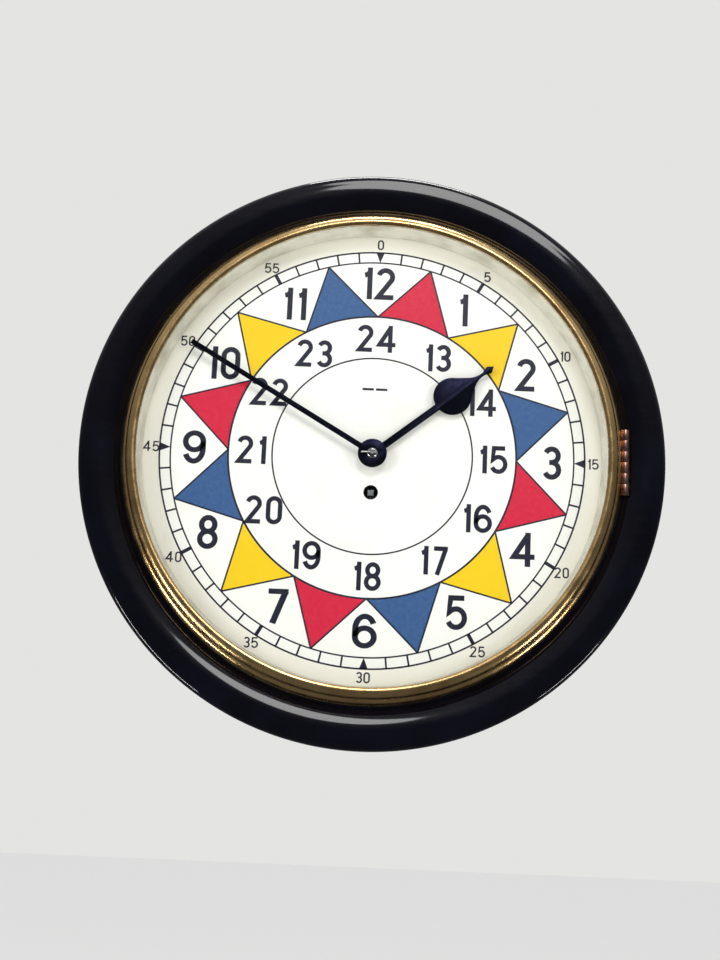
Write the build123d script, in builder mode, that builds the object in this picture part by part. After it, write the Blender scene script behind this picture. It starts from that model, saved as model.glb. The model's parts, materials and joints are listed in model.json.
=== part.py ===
from build123d import *
import math
import os

# Round wall clock with a fusee movement, in millimetres.
# The origin is on the hands' axis where the box meets the wall.
# +X is to the right of the dial, +Z is up and -Y comes out of the wall
# towards the person reading the dial. A "height" is a distance out from the wall.

os.makedirs("parts", exist_ok=True)

# ---- Driving sizes ----
# dial and turned case
dial_radius = 177.8          # a 14-inch dial
dial_height = 126.0          # the dial's front face
dial_thickness = 1.5
dial_hole_radius = 6.0
winding_hole_radius = 5.2
dial_screw_radius = 1.0
surround_width = 41.7        # how far the turned wood reaches past the dial
surround_depth = 16.5        # wood behind the back of the dial
surround_ledge = 9.8         # how far the wood reaches in under the dial
surround_rise = 6.6          # the wood's face beside the bezel, above the dial
crown_width = 15.5           # the domed edge of the wood
web_thickness = 6.0          # the wood that the box stands against
bezel_width = 9.6            # how far the bezel reaches past the dial
bezel_rise = 22.0            # the bezel's lip above the dial
bezel_lip = 3.1              # how far the lip covers the dial's edge
glass_thickness = 2.0
sight_foot_width = 5.2       # the painted ring's foot on the dial
catch_inset = 5.0
hinge_length = 50.0
hinge_knuckles = 6
knuckle_radius = 3.5
hinge_pin_radius = 1.4
leaf_thickness = 1.4

# box, its pegs and its hanging plate
wood_wall = 10.0
box_top = 160.0
cheek_width = 20.0
cheek_depth = 22.0
cheek_inset = 10.0           # from the top of the box to the end of a cheek
peg_radius = 4.0
peg_spots = (-140.0, 120.0)
hanging_half = 20.0
hanging_rise = 30.0          # how far the plate stands above the box
hanging_thickness = 3.0
hanging_hole_radius = 4.0
hanging_screw_radius = 2.0
plate_foot = 130.0           # where the hanging plate starts on the back board

# doors
door_back = 30.0
door_room = 8.0               # from a door's front edge to the cheeks
side_door_low, side_door_high = -110.0, 30.0
bottom_door_half = 60.0
door_leaf_thickness = 1.2
door_leaf_width = 14.0
door_knuckle = 2.2
door_pin = 1.0
door_hinge_length = 60.0

# movement
plate_half_width = 72.0
plate_top = 72.0
plate_bottom = -95.0
plate_thickness = 3.0
plate_gap = 50.0
movement_depth = 15.0        # from the front plate to the dial's face
pillar_radius = 4.0
pillar_tail = 2.5
foot_radius = 3.5
foot_tail = 2.0
pin_radius = 0.6
pivot = 0.9
centre_arbor_radius = 1.5
winding_radius = 2.6
winding_pivot = 1.6
barrel_radius = 26.5
barrel_wall = 1.3
barrel_arbor_radius = 2.5
fusee_turns = 8
fusee_great_radius = 20.5
fusee_arbor_radius = 3.0
cock_screw_radius = 1.5

# train: teeth and modules
centre_teeth, third_teeth, escape_teeth, great_teeth = 96, 88, 30, 96
pinion_leaves = 8
great_module, centre_module, third_module = 0.546, 0.5, 0.45
cannon_teeth, hour_teeth = 40, 96
minute_module = 0.6
third_direction = 53.5       # degrees from +X, seen from the front
escape_radius = 16.0

# hands
hand_thickness = 1.0
boss_radius = 10.9
hour_spade = 14.4
hour_spade_centre = 75.2
hour_hand_length = 114.6
collet_radius = 4.0
cannon_radius = 2.4
bridge_radius = 3.6
hour_pipe_radius = 4.8

# pendulum
pendulum_length = 205.3      # beats 7920 times an hour
bob_radius = 18.0
rod_radius = 1.6
nut_thickness = 4.0
chop_half = 2.6              # half the depth of the suspension spring and its chops

# ---- Clearances ----
running = 0.05               # shaft in hole, on the radius
loose = 0.3                  # pieces that only lie beside each other
door_gap = 1.0
movement_room = 16.0         # between a plate and the side of the box
pendulum_room = 8.1          # below the pendulum's end
hand_room = 10.6             # between the minute hand's tip and the painted ring
opening_margin = 2.0         # web left inside the box's corner

# ---- Rest positions (clock degrees, clockwise from twelve) ----
minute_angle = 300.0
hour_angle = 51.3

# ---- Sizes worked out from the driving ones ----
# dial and surround
dial_back = dial_height - dial_thickness
surround_back = dial_back - surround_depth
surround_opening = dial_radius - surround_ledge
surround_outer = dial_radius + surround_width
rebate_radius = dial_radius + loose
wood_face = dial_height + surround_rise

# box
box_half_width = plate_half_width + movement_room + wood_wall
inner_half = box_half_width - wood_wall
web_opening = math.sqrt(surround_opening ** 2 - inner_half ** 2) - opening_margin
box_front = surround_back
door_front = box_front - cheek_depth - door_room
inner_top = box_top - wood_wall
peg_height = box_front - 12.0
hanging_top = box_top + hanging_rise
hanging_hole = (0.0, hanging_top - 14.0)
hanging_screws = [(-12, plate_foot + 8), (12, plate_foot + 8), (-12, box_top - 6), (12, box_top - 6)]
door_hinge_height = door_back + door_gap / 2
side_door_middle = (side_door_low + side_door_high) / 2

# bezel and its hinge
bezel_outer = dial_radius + bezel_width
bezel_base = wood_face + loose
lip_height = dial_height + bezel_rise
bezel_step = dial_height + 14.0
glass_radius = dial_radius - 0.9
glass_back = lip_height - glass_thickness - 1.0
sight_foot = dial_radius - sight_foot_width
hinge_x = bezel_outer + 1.1
hinge_height = bezel_base + knuckle_radius - 0.4
knuckle_pitch = hinge_length / hinge_knuckles
catch_x = -(dial_radius + catch_inset)

# movement frame
plate_front = dial_height - movement_depth
front_plate_back = plate_front - plate_thickness
back_plate_front = front_plate_back - plate_gap
back_plate_back = back_plate_front - plate_thickness
pillar_x, foot_x = plate_half_width - 8.0, plate_half_width - 17.0
pillar_spots = [(x, z) for x in (-pillar_x, pillar_x) for z in (plate_bottom + 8, plate_top - 8)]
foot_spots = [(x, z) for x in (-foot_x, foot_x) for z in (plate_bottom + 15, plate_top - 22)]

# train
great_distance = great_module * (great_teeth + pinion_leaves) / 2
centre_distance = centre_module * (centre_teeth + pinion_leaves) / 2
third_distance = third_module * (third_teeth + pinion_leaves) / 2
centre_axis = (0.0, 0.0)
fusee_axis = (0.0, -great_distance)
third_axis = (centre_distance * math.cos(math.radians(third_direction)),
              centre_distance * math.sin(math.radians(third_direction)))
escape_axis = (0.0, third_axis[1] + math.sqrt(third_distance ** 2 - third_axis[0] ** 2))
escape_direction = math.degrees(math.atan2(escape_axis[1] - third_axis[1], -third_axis[0]))
pallet_axis = (0.0, escape_axis[1] + escape_radius * math.sqrt(2))
barrel_axis = (-40.0, fusee_axis[1] - 34.0)
third_wheel_height = front_plate_back - 20.0
barrel_start, barrel_end = back_plate_front + 8.5, front_plate_back - 8.0
fusee_start = back_plate_front + 8.0
fusee_pitch = (plate_gap - 19.6) / fusee_turns

# motion work and hands
bridge_bore = cannon_radius + 0.2
hour_bore = bridge_radius + running
stud_axis = (minute_module * cannon_teeth, 0.0)
hour_module = 2 * stud_axis[0] / (hour_teeth + pinion_leaves)
hour_hand_height = dial_height + 4.0
minute_hand_height = dial_height + 7.6
minute_hand_length = sight_foot - hand_room
pin_height = minute_hand_height + hand_thickness + 2.9

# escapement and pendulum
cock_screw_spots = [(-18, pallet_axis[1] + 8), (18, pallet_axis[1] + 8)]
crutch_height = back_plate_back - 6.0
cock_height = back_plate_back - 11.0
pendulum_height = back_plate_back - 17.0
bob_z = pallet_axis[1] - pendulum_length
nut_top = bob_z - bob_radius - 0.2
rod_end = nut_top - nut_thickness - 5.0
inner_bottom = rod_end - pendulum_room
box_bottom = inner_bottom - wood_wall
side_plane = Plane(origin=(box_half_width, 0, 0), x_dir=(0, -1, 0), z_dir=(1, 0, 0))
bottom_plane = Plane(origin=(0, 0, box_bottom), x_dir=(0, -1, 0), z_dir=(0, 0, -1))


# ---- Helpers ----
def level(height):
    """Plane parallel to the wall at this height, drawn as seen from the front."""
    return Plane.XZ.offset(height)


def hand_plane(height, clock_angle):
    """Plane at this height whose y axis points at a clock angle."""
    turn = math.radians(clock_angle)
    return Plane(origin=(0, -height, 0), x_dir=(math.cos(turn), 0, -math.sin(turn)), z_dir=(0, -1, 0))


def turned(profile, centre=(0, 0)):
    """Turn a closed (radius, height) profile about an axis parallel to the hands'."""
    x, z = centre
    with BuildSketch(Plane((x, 0, z))) as sketch:
        with BuildLine():
            Polyline([(radius, -height) for radius, height in profile], close=True)
        make_face()
    revolve(sketch.sketch, axis=Axis((x, 0, z), (0, 1, 0)))


def rounds(centre, steps):
    """Build round steps, each (start height, end height, radius)."""
    for start, end, radius in steps:
        with BuildSketch(level(start)) as sketch:
            with Locations(centre):
                Circle(radius)
        extrude(sketch.sketch, amount=end - start)


def bores(centres, start, end, radius):
    """Cut round holes between two heights."""
    with BuildSketch(level(start)) as sketch:
        with Locations(*centres):
            Circle(radius)
    extrude(sketch.sketch, amount=end - start, mode=Mode.SUBTRACT)


def slab(x_span, z_span, h_span, mode=Mode.ADD):
    """Box between two x, two z and two height values."""
    with BuildSketch(level(h_span[0])) as sketch:
        with Locations(((x_span[0] + x_span[1]) / 2, (z_span[0] + z_span[1]) / 2)):
            Rectangle(x_span[1] - x_span[0], z_span[1] - z_span[0])
    extrude(sketch.sketch, amount=h_span[1] - h_span[0], mode=mode)


def finish(piece, name):
    """Label the piece and write it out."""
    piece.part.label = name
    export_step(piece.part, f"parts/{name}.step")


# ---- Gearing ----
# addendum and dedendum in modules, half tip and half root as shares of a tooth's pitch
WHEEL = (1.0, 1.35, 0.08, 0.26)
PINION = (0.5, 1.4, 0.08, 0.14)
EQUAL = (0.8, 1.1, 0.09, 0.29)


def tooth_points(centre, teeth, module, form, phase):
    """Outline of a gear whose first tooth points at this angle in degrees."""
    addendum, dedendum, tip, root = form
    pitch_radius = module * teeth / 2
    outer = pitch_radius + addendum * module
    inner = pitch_radius - dedendum * module
    step = 360 / teeth
    points = []
    for index in range(teeth):
        middle = phase + index * step
        for radius, share in ((inner, -root), (outer, -tip), (outer, tip), (inner, root)):
            angle = math.radians(middle + share * step)
            points.append((centre[0] + radius * math.cos(angle), centre[1] + radius * math.sin(angle)))
    return points


def mesh_phase(teeth, phase, other_teeth, direction):
    """Phase that puts the second gear, lying in this direction, in mesh with the first."""
    place = (direction - phase) / (360 / teeth)
    return direction + 180 - (0.5 - place) * 360 / other_teeth


def gear(centre, start, thickness, teeth, module, form, phase):
    """A toothed disc."""
    with BuildSketch(level(start)) as sketch:
        with BuildLine():
            Polyline(tooth_points(centre, teeth, module, form, phase), close=True)
        make_face()
    extrude(sketch.sketch, amount=thickness)


def crossings(centre, start, thickness, rim, hub, spokes, arm):
    """Cut the windows between a wheel's spokes."""
    with BuildSketch(level(start)) as sketch:
        with Locations(centre):
            Circle(rim)
            Circle(hub, mode=Mode.SUBTRACT)
            with PolarLocations(0, spokes):
                with Locations((0, rim / 2)):
                    Rectangle(arm, rim, mode=Mode.SUBTRACT)
    extrude(sketch.sketch, amount=thickness, mode=Mode.SUBTRACT)


# ---- Wooden surround and box ----
def make_surround():
    crest = (surround_outer - crown_width, -(wood_face + 6))
    shoulder = (surround_outer - 6.2, -(wood_face + 5.3))
    rim = (surround_outer, -(wood_face - 0.8))
    foot = (hinge_x, -wood_face)
    edge_bottom = (surround_outer, -(dial_height - 2))
    with BuildPart() as surround:
        with BuildSketch(Plane.XY):
            with BuildLine():
                Polyline([edge_bottom, (surround_outer - 2.5, -(dial_height - 6)),
                          (surround_outer - 3.5, -(surround_back + 5)), (surround_outer - 10, -surround_back),
                          (0, -surround_back), (0, -(surround_back + web_thickness)),
                          (surround_opening, -(surround_back + web_thickness)),
                          (surround_opening, -dial_back), (rebate_radius, -dial_back), (rebate_radius, -wood_face), foot])
                ThreePointArc(foot, (hinge_x + 7.5, -(wood_face + 4.2)), crest)
                ThreePointArc(crest, (crest[0] + 5, -(wood_face + 5.9)), shoulder)
                ThreePointArc(shoulder, (surround_outer - 1.8, -(wood_face + 3.5)), rim)
                Line(rim, edge_bottom)
            make_face()
        revolve(axis=Axis.Y)
        # the web behind the dial is open where the box stands against it
        slab((-inner_half, inner_half), (-web_opening, web_opening),
             (surround_back - 1, surround_back + web_thickness + 1), Mode.SUBTRACT)
        # trough for the hinge knuckles and kerf for the leaf
        with BuildSketch(Plane.XY.offset(-hinge_length / 2 - loose)):
            with Locations((hinge_x, -hinge_height)):
                Circle(knuckle_radius + loose)
        extrude(amount=hinge_length + 2 * loose, mode=Mode.SUBTRACT)
        slab((hinge_x + 0.9, hinge_x + 1.1 + leaf_thickness),
             (-hinge_length / 2 - 0.1, hinge_length / 2 + 0.1),
             (wood_face - 14.1, wood_face + 1), Mode.SUBTRACT)
        # pocket for the catch
        slab((catch_x - 3, catch_x + 3.5), (-7, 7), (wood_face - 8, wood_face + 1), Mode.SUBTRACT)
        bores(dial_screw_spots(), dial_back - 9.1, dial_back, dial_screw_radius + running)
    finish(surround, "surround")


def dial_screw_spots():
    """Centres of the screws that hold the dial, near its edge."""
    reach = dial_radius - 2.9
    angles = [math.radians(degrees) for degrees in (45, 135, 225, 315)]
    return [(reach * math.cos(angle), reach * math.sin(angle)) for angle in angles]


def make_cheeks_and_pegs():
    inner = box_half_width + loose
    with BuildPart() as cheeks:
        for side in (-1, 1):
            spans = sorted((side * inner, side * (inner + cheek_width)))
            slab(spans, (peg_spots[0] - 18, box_top - cheek_inset), (box_front - cheek_depth, box_front))
        for z in peg_spots:
            with BuildSketch(Plane.YZ.offset(-(inner + cheek_width + 1))):
                with Locations((-peg_height, z)):
                    Circle(peg_radius + running)
            extrude(amount=2 * (inner + cheek_width + 1), mode=Mode.SUBTRACT)
    finish(cheeks, "surround_cheeks")
    leftward = Plane(origin=(0, 0, 0), x_dir=(0, 1, 0), z_dir=(-1, 0, 0))
    with BuildPart() as pegs:
        for outward, upward in ((Plane.YZ, 1), (leftward, -1)):
            for z in peg_spots:
                peg_end = inner + cheek_width + loose
                for start, end, radius in ((inner_half + 1, peg_end, peg_radius),
                                           (peg_end, peg_end + 6.7, peg_radius + 2)):
                    with BuildSketch(outward.offset(start)):
                        with Locations((-peg_height, z * upward)):
                            Circle(radius)
                    extrude(amount=end - start)
    finish(pegs, "case_pegs")


def make_box():
    with BuildPart() as back:
        slab((-box_half_width, box_half_width), (box_bottom, box_top), (0, wood_wall))
        slab((-hanging_half - 0.1, hanging_half + 0.1), (plate_foot - 0.1, box_top + 1),
             (0, hanging_thickness), Mode.SUBTRACT)
        bores(hanging_screws, 0, wood_wall - 1, hanging_screw_radius + running)
    finish(back, "box_back")
    with BuildPart() as left:
        slab((-box_half_width, -inner_half), (box_bottom, box_top), (wood_wall, box_front))
        peg_bores(-1)
    finish(left, "box_left_side")
    with BuildPart() as right:
        slab((inner_half, box_half_width), (box_bottom, box_top), (wood_wall, box_front))
        slab((inner_half - 1, box_half_width + 1), (side_door_low, side_door_high), (door_back, door_front),
             Mode.SUBTRACT)
        peg_bores(1)
    finish(right, "box_right_side")
    with BuildPart() as top:
        slab((-inner_half, inner_half), (inner_top, box_top), (wood_wall, box_front))
    finish(top, "box_top")
    with BuildPart() as bottom:
        slab((-inner_half, inner_half), (box_bottom, inner_bottom), (wood_wall, box_front))
        slab((-bottom_door_half, bottom_door_half), (box_bottom - 1, inner_bottom + 1),
             (door_back, door_front), Mode.SUBTRACT)
    finish(bottom, "box_bottom")


def peg_bores(side):
    """Peg holes through one side of the box."""
    for z in peg_spots:
        start = min(side * (inner_half - 1), side * (box_half_width + 1))
        with BuildSketch(Plane.YZ.offset(start)) as sketch:
            with Locations((-peg_height, z)):
                Circle(peg_radius + running)
        extrude(sketch.sketch, amount=wood_wall + 2, mode=Mode.SUBTRACT)


def make_hanging_plate():
    with BuildPart() as plate:
        slab((-hanging_half, hanging_half), (plate_foot, hanging_top), (0, hanging_thickness))
        fillet(plate.edges().filter_by(Axis.Y).group_by(Axis.Z)[-1], radius=12)
        bores([hanging_hole], -1, hanging_thickness + 1, hanging_hole_radius)
        bores(hanging_screws, -1, hanging_thickness + 1, hanging_screw_radius + running)
    finish(plate, "hanging_plate")
    with BuildPart() as screws:
        rounds_at(hanging_screws, [(0.4, wood_wall - 1.2, hanging_screw_radius)])
    finish(screws, "hanging_screws")


def rounds_at(centres, steps):
    """The same round steps at several centres."""
    for centre in centres:
        rounds(centre, steps)


# ---- Doors ----
def hinge_leaf(face, middle, door_side):
    """Half of a door's butt hinge.

    The face plane's x is the height from the wall, its y runs along the hinge, and
    its z points out of the box from the box's outer face.
    """
    third = door_hinge_length / 3
    own = (0,) if door_side else (-third, third)
    direction = 1 if door_side else -1
    with BuildSketch(face) as sketch:
        with Locations((door_hinge_height + direction * door_leaf_width / 2, middle)):
            Rectangle(door_leaf_width - 0.4, door_hinge_length)
    extrude(sketch.sketch, amount=door_leaf_thickness)
    for along in (-third, 0, third):
        start = face.from_local_coords((door_hinge_height, middle + along - third / 2 + 0.1, door_knuckle))
        with BuildSketch(Plane(origin=start, x_dir=face.x_dir, z_dir=face.y_dir)) as sketch:
            Circle(door_knuckle if along in own else door_knuckle + 0.2)
        extrude(sketch.sketch, amount=third - 0.2, mode=Mode.ADD if along in own else Mode.SUBTRACT)
    start = face.from_local_coords((door_hinge_height, middle - door_hinge_length, door_knuckle))
    with BuildSketch(Plane(origin=start, x_dir=face.x_dir, z_dir=face.y_dir)) as sketch:
        Circle(door_pin + running)
    extrude(sketch.sketch, amount=2 * door_hinge_length, mode=Mode.SUBTRACT)


def hinge_pin(frame_plane, middle):
    """The pin of a door's hinge, in the same plane as its leaves."""
    low = middle - door_hinge_length / 2 - 1
    start = frame_plane.from_local_coords((door_hinge_height, low, door_knuckle))
    with BuildSketch(Plane(origin=start, x_dir=frame_plane.x_dir, z_dir=frame_plane.y_dir)) as sketch:
        Circle(door_pin)
    extrude(sketch.sketch, amount=door_hinge_length + 2)


def make_doors():
    along_side = side_plane.to_local_coords(Vector(box_half_width, 0, side_door_middle)).Y
    with BuildPart() as side_door:
        slab((inner_half + 1, box_half_width), (side_door_low + door_gap, side_door_high - door_gap),
             (door_back + door_gap, door_front - door_gap))
    finish(side_door, "side_door")
    with BuildPart() as bottom_door:
        slab((-bottom_door_half + door_gap, bottom_door_half - door_gap), (box_bottom, inner_bottom - 1),
             (door_back + door_gap, door_front - door_gap))
    finish(bottom_door, "bottom_door")
    with BuildPart() as side_leaf:
        hinge_leaf(side_plane, along_side, True)
    finish(side_leaf, "side_door_leaf")
    with BuildPart() as bottom_leaf:
        hinge_leaf(bottom_plane, 0, True)
    finish(bottom_leaf, "bottom_door_leaf")
    with BuildPart() as box_leaves:
        hinge_leaf(side_plane, along_side, False)
        hinge_leaf(bottom_plane, 0, False)
    finish(box_leaves, "door_box_leaves")
    with BuildPart() as pins:
        hinge_pin(side_plane, along_side)
        hinge_pin(bottom_plane, 0)
    finish(pins, "door_hinge_pins")
    knob_height = door_front - 10
    for plane, along, name in ((side_plane, along_side, "side_door_knob"),
                               (bottom_plane, 0, "bottom_door_knob")):
        with BuildPart() as knob:
            with BuildSketch(Plane(origin=plane.from_local_coords((knob_height, along, 0)), x_dir=plane.x_dir,
                                   z_dir=plane.y_dir)):
                with BuildLine():
                    Polyline([(0, 0), (0, -9), (2.4, -9), (4, -7.4), (4, -5.6), (2, -3.8), (2, -1), (3, 0)],
                             close=True)
                make_face()
            axis_start = plane.from_local_coords((knob_height, along, 0))
            revolve(axis=Axis(axis_start, plane.z_dir))
        finish(knob, name)


# ---- Dial ----
def make_dial():
    with BuildPart() as dial:
        rounds((0, 0), [(dial_back, dial_height, dial_radius)])
        bores([(0, 0)], dial_back, dial_height, dial_hole_radius)
        bores([fusee_axis], dial_back, dial_height, winding_hole_radius)
        bores(dial_screw_spots(), dial_back, dial_height, dial_screw_radius + running)
    finish(dial, "dial_plate")
    with BuildPart() as screws:
        rounds_at(dial_screw_spots(), [(dial_back - 9, dial_height, dial_screw_radius),
                                       (dial_height, dial_height + 0.5, dial_screw_radius + 0.5)])
    finish(screws, "dial_screws")
    with BuildPart() as feet:
        rounds_at(foot_spots, [(plate_front, dial_back, foot_radius),
                               (front_plate_back - 4, plate_front, foot_tail)])
        cross_holes(foot_spots, front_plate_back - 1.2)
    finish(feet, "dial_feet")


def cross_holes(spots, height):
    """Holes for the taper pins, across the tails."""
    for x, z in spots:
        with BuildSketch(Plane.YZ.offset(x - 6)) as sketch:
            with Locations((-height, z)):
                Circle(pin_radius + running)
        extrude(sketch.sketch, amount=12, mode=Mode.SUBTRACT)


# ---- Bezel, sight ring and glass ----
def make_bezel():
    lip = (dial_radius - bezel_lip, -lip_height)
    flank = (bezel_outer, -(bezel_base + 1.0))
    step = (bezel_outer - 3.9, -bezel_step)
    groove = (bezel_outer - 4.7, -bezel_step)
    crest = (dial_radius + 0.7, -(lip_height + 0.8))
    glass_front = glass_back + glass_thickness + 0.1
    with BuildPart() as bezel:
        with BuildSketch(Plane.XY):
            with BuildLine():
                Polyline([lip, (lip[0], -glass_front), (glass_radius + loose, -glass_front),
                          (glass_radius + loose, -bezel_base), (bezel_outer, -bezel_base), flank])
                ThreePointArc(flank, (bezel_outer - 1.2, -(bezel_base + 4.6)), step)
                Line(step, groove)
                ThreePointArc(groove, (groove[0] - 1.2, -(bezel_step + 6.6)), crest)
                ThreePointArc(crest, (dial_radius - 1.6, -(lip_height + 0.9)), lip)
            make_face()
        revolve(axis=Axis.Y)
        with BuildSketch(Plane.XY.offset(-hinge_length / 2 - loose)):
            with Locations((hinge_x, -hinge_height)):
                Circle(knuckle_radius + loose)
        extrude(amount=hinge_length + 2 * loose, mode=Mode.SUBTRACT)
        slab((hinge_x - 7.1, hinge_x), (-hinge_length / 2 - 0.1, hinge_length / 2 + 0.1),
             (bezel_base - 1, bezel_base + leaf_thickness + 0.1), Mode.SUBTRACT)
    finish(bezel, "bezel")
    with BuildPart() as sight:
        turned([(sight_foot, dial_height + 0.8), (sight_foot + 1.1, dial_height + 0.8),
                (dial_radius - 2.0, glass_back - 1.4), (glass_radius, glass_back - 1.4),
                (glass_radius, glass_back), (dial_radius - bezel_lip, glass_back)])
    finish(sight, "sight_ring")
    with BuildPart() as glass:
        rounds((0, 0), [(glass_back, glass_back + glass_thickness, glass_radius)])
    finish(glass, "glass")


def knuckles(indices):
    """Hinge knuckles, numbered from the top."""
    for index in indices:
        top = hinge_length / 2 - index * knuckle_pitch
        with BuildSketch(Plane.XY.offset(top - knuckle_pitch + 0.1)) as sketch:
            with Locations((hinge_x, -hinge_height)):
                Circle(knuckle_radius)
        extrude(sketch.sketch, amount=knuckle_pitch - 0.2)


def make_hinge():
    bezel_turns = range(0, hinge_knuckles, 2)
    wood_turns = range(1, hinge_knuckles, 2)
    with BuildPart() as bezel_leaf:
        for index in bezel_turns:
            top = hinge_length / 2 - index * knuckle_pitch
            slab((hinge_x - 7, hinge_x - 1.2), (top - knuckle_pitch + 0.1, top - 0.1),
                 (bezel_base, bezel_base + leaf_thickness))
        knuckles(bezel_turns)
        pin_bore()
    finish(bezel_leaf, "bezel_hinge_leaf")
    with BuildPart() as wood_leaf:
        slab((hinge_x + 1.0, hinge_x + 1.0 + leaf_thickness), (-hinge_length / 2, hinge_length / 2),
             (wood_face - 14, hinge_height - knuckle_radius - 0.2))
        for index in wood_turns:
            top = hinge_length / 2 - index * knuckle_pitch
            slab((hinge_x + 1.0, hinge_x + 1.0 + leaf_thickness), (top - knuckle_pitch + 0.1, top - 0.1),
                 (wood_face - 2, hinge_height))
        knuckles(wood_turns)
        pin_bore()
    finish(wood_leaf, "surround_hinge_leaf")
    with BuildPart() as pin:
        with BuildSketch(Plane.XY.offset(-hinge_length / 2 - 0.2)):
            with Locations((hinge_x, -hinge_height)):
                Circle(hinge_pin_radius)
        extrude(amount=hinge_length + 0.4)
    finish(pin, "bezel_hinge_pin")
    with BuildPart() as catch:
        slab((catch_x - 0.6, catch_x + 0.6), (-5, 5), (wood_face - 5, bezel_base))
        slab((catch_x - 0.6, catch_x + 1.4), (-5, 5), (wood_face - 5, wood_face - 3.6))
    finish(catch, "bezel_catch")


def pin_bore():
    """Bore for the hinge pin."""
    with BuildSketch(Plane.XY.offset(-hinge_length)) as sketch:
        with Locations((hinge_x, -hinge_height)):
            Circle(hinge_pin_radius + running)
    extrude(sketch.sketch, amount=2 * hinge_length, mode=Mode.SUBTRACT)


# ---- Hands ----
def make_hands():
    with BuildPart() as minute_hand:
        with BuildSketch(hand_plane(minute_hand_height, minute_angle)):
            with BuildLine():
                Polyline([(-2.1, 0), (-2.1, 12), (-1.85, minute_hand_length), (1.85, minute_hand_length),
                          (2.1, 12), (2.1, 0)], close=True)
            make_face()
            Circle(boss_radius)
        extrude(amount=hand_thickness)
        bores([(0, 0)], minute_hand_height, minute_hand_height + hand_thickness, cannon_radius + running)
    finish(minute_hand, "minute_hand")
    shoulder = hour_spade * math.sqrt(0.5)
    neck = hour_hand_length - 9.6
    with BuildPart() as hour_hand:
        with BuildSketch(hand_plane(hour_hand_height, hour_angle)):
            Circle(boss_radius - 1.4)
            with Locations((0, hour_spade_centre / 2)):
                Rectangle(5.2, hour_spade_centre)
            with Locations((0, hour_spade_centre)):
                Circle(hour_spade)
            with BuildLine():
                Line((-shoulder, hour_spade_centre), (shoulder, hour_spade_centre))
                Line((shoulder, hour_spade_centre), (shoulder, hour_spade_centre + shoulder))
                Line((shoulder, hour_spade_centre + shoulder), (4.2, neck - 11.2))
                ThreePointArc((4.2, neck - 11.2), (2.0, neck - 6.8), (1.3, neck))
                Polyline([(1.3, neck), (3.0, neck + 5.2), (0, hour_hand_length), (-3.0, neck + 5.2),
                          (-1.3, neck)])
                ThreePointArc((-1.3, neck), (-2.0, neck - 6.8), (-4.2, neck - 11.2))
                Line((-4.2, neck - 11.2), (-shoulder, hour_spade_centre + shoulder))
                Line((-shoulder, hour_spade_centre + shoulder), (-shoulder, hour_spade_centre))
            make_face()
        extrude(amount=hand_thickness)
        bores([(0, 0)], hour_hand_height, hour_hand_height + hand_thickness, hour_pipe_radius + running)
    finish(hour_hand, "hour_hand")
    collet_start = minute_hand_height + hand_thickness
    with BuildPart() as collet:
        turned([(centre_arbor_radius + running, collet_start), (collet_radius, collet_start),
                (collet_radius, collet_start + 0.9), (collet_radius - 1.2, collet_start + 2.1),
                (centre_arbor_radius + running, collet_start + 2.1)])
    finish(collet, "hand_collet")
    with BuildPart() as hand_pin:
        with BuildSketch(Plane.YZ.offset(-8.5)):
            with Locations((-pin_height, 0)):
                Circle(0.75)
        with BuildSketch(Plane.YZ.offset(3.5)):
            with Locations((-pin_height, 0)):
                Circle(0.45)
        loft()
    finish(hand_pin, "hand_pin")


# ---- Motion work ----
def make_motion_work():
    cannon_start = plate_front + 1.5
    hour_start = plate_front + 8.5
    bridge_start = plate_front + 5.0
    minute_phase = mesh_phase(cannon_teeth, 0, cannon_teeth, 0)
    pinion_phase = 12.0
    hour_phase = mesh_phase(pinion_leaves, pinion_phase, hour_teeth, 180)
    with BuildPart() as cannon:
        gear(centre_axis, cannon_start, 2, cannon_teeth, minute_module, EQUAL, 0)
        rounds((0, 0), [(cannon_start, minute_hand_height + hand_thickness, cannon_radius)])
        bores([(0, 0)], cannon_start, minute_hand_height + hand_thickness, centre_arbor_radius + running)
    finish(cannon, "cannon_wheel")
    with BuildPart() as minute_wheel:
        gear(stud_axis, cannon_start, 2, cannon_teeth, minute_module, EQUAL, minute_phase)
        gear(stud_axis, cannon_start + 2, 8, pinion_leaves, hour_module, PINION, pinion_phase)
        bores([stud_axis], cannon_start, cannon_start + 10, 1.0 + running)
    finish(minute_wheel, "minute_wheel")
    with BuildPart() as stud:
        rounds(stud_axis, [(front_plate_back, plate_front, 1.5), (plate_front, cannon_start - 0.2, 2.2),
                           (cannon_start - 0.2, cannon_start + 11, 1.0)])
    finish(stud, "minute_wheel_stud")
    with BuildPart() as bridge:
        slab((-4, 4), (-21, 21), (bridge_start, bridge_start + 1.5))
        slab((-4, 4), (-21, -16), (plate_front, bridge_start))
        slab((-4, 4), (16, 21), (plate_front, bridge_start))
        rounds((0, 0), [(bridge_start, hour_start + 6, bridge_radius)])
        bores([(0, 0)], bridge_start, hour_start + 6, bridge_bore)
    finish(bridge, "hour_bridge")
    with BuildPart() as hour_wheel:
        gear(centre_axis, hour_start, 1.5, hour_teeth, hour_module, WHEEL, hour_phase)
        crossings(centre_axis, hour_start, 1.5, 18.5, 7, 4, 3)
        rounds((0, 0), [(hour_start, hour_hand_height + hand_thickness, hour_pipe_radius)])
        bores([(0, 0)], hour_start, hour_hand_height + hand_thickness, hour_bore)
    finish(hour_wheel, "hour_wheel")


# ---- Movement frame ----
def pivot_table():
    """Every arbor's centre with the radius of its front and back hole."""
    return [(centre_axis, centre_arbor_radius, pivot), (fusee_axis, winding_radius, winding_pivot),
            (third_axis, pivot, pivot), (escape_axis, pivot, pivot),
            (barrel_axis, barrel_arbor_radius, barrel_arbor_radius)]


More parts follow.
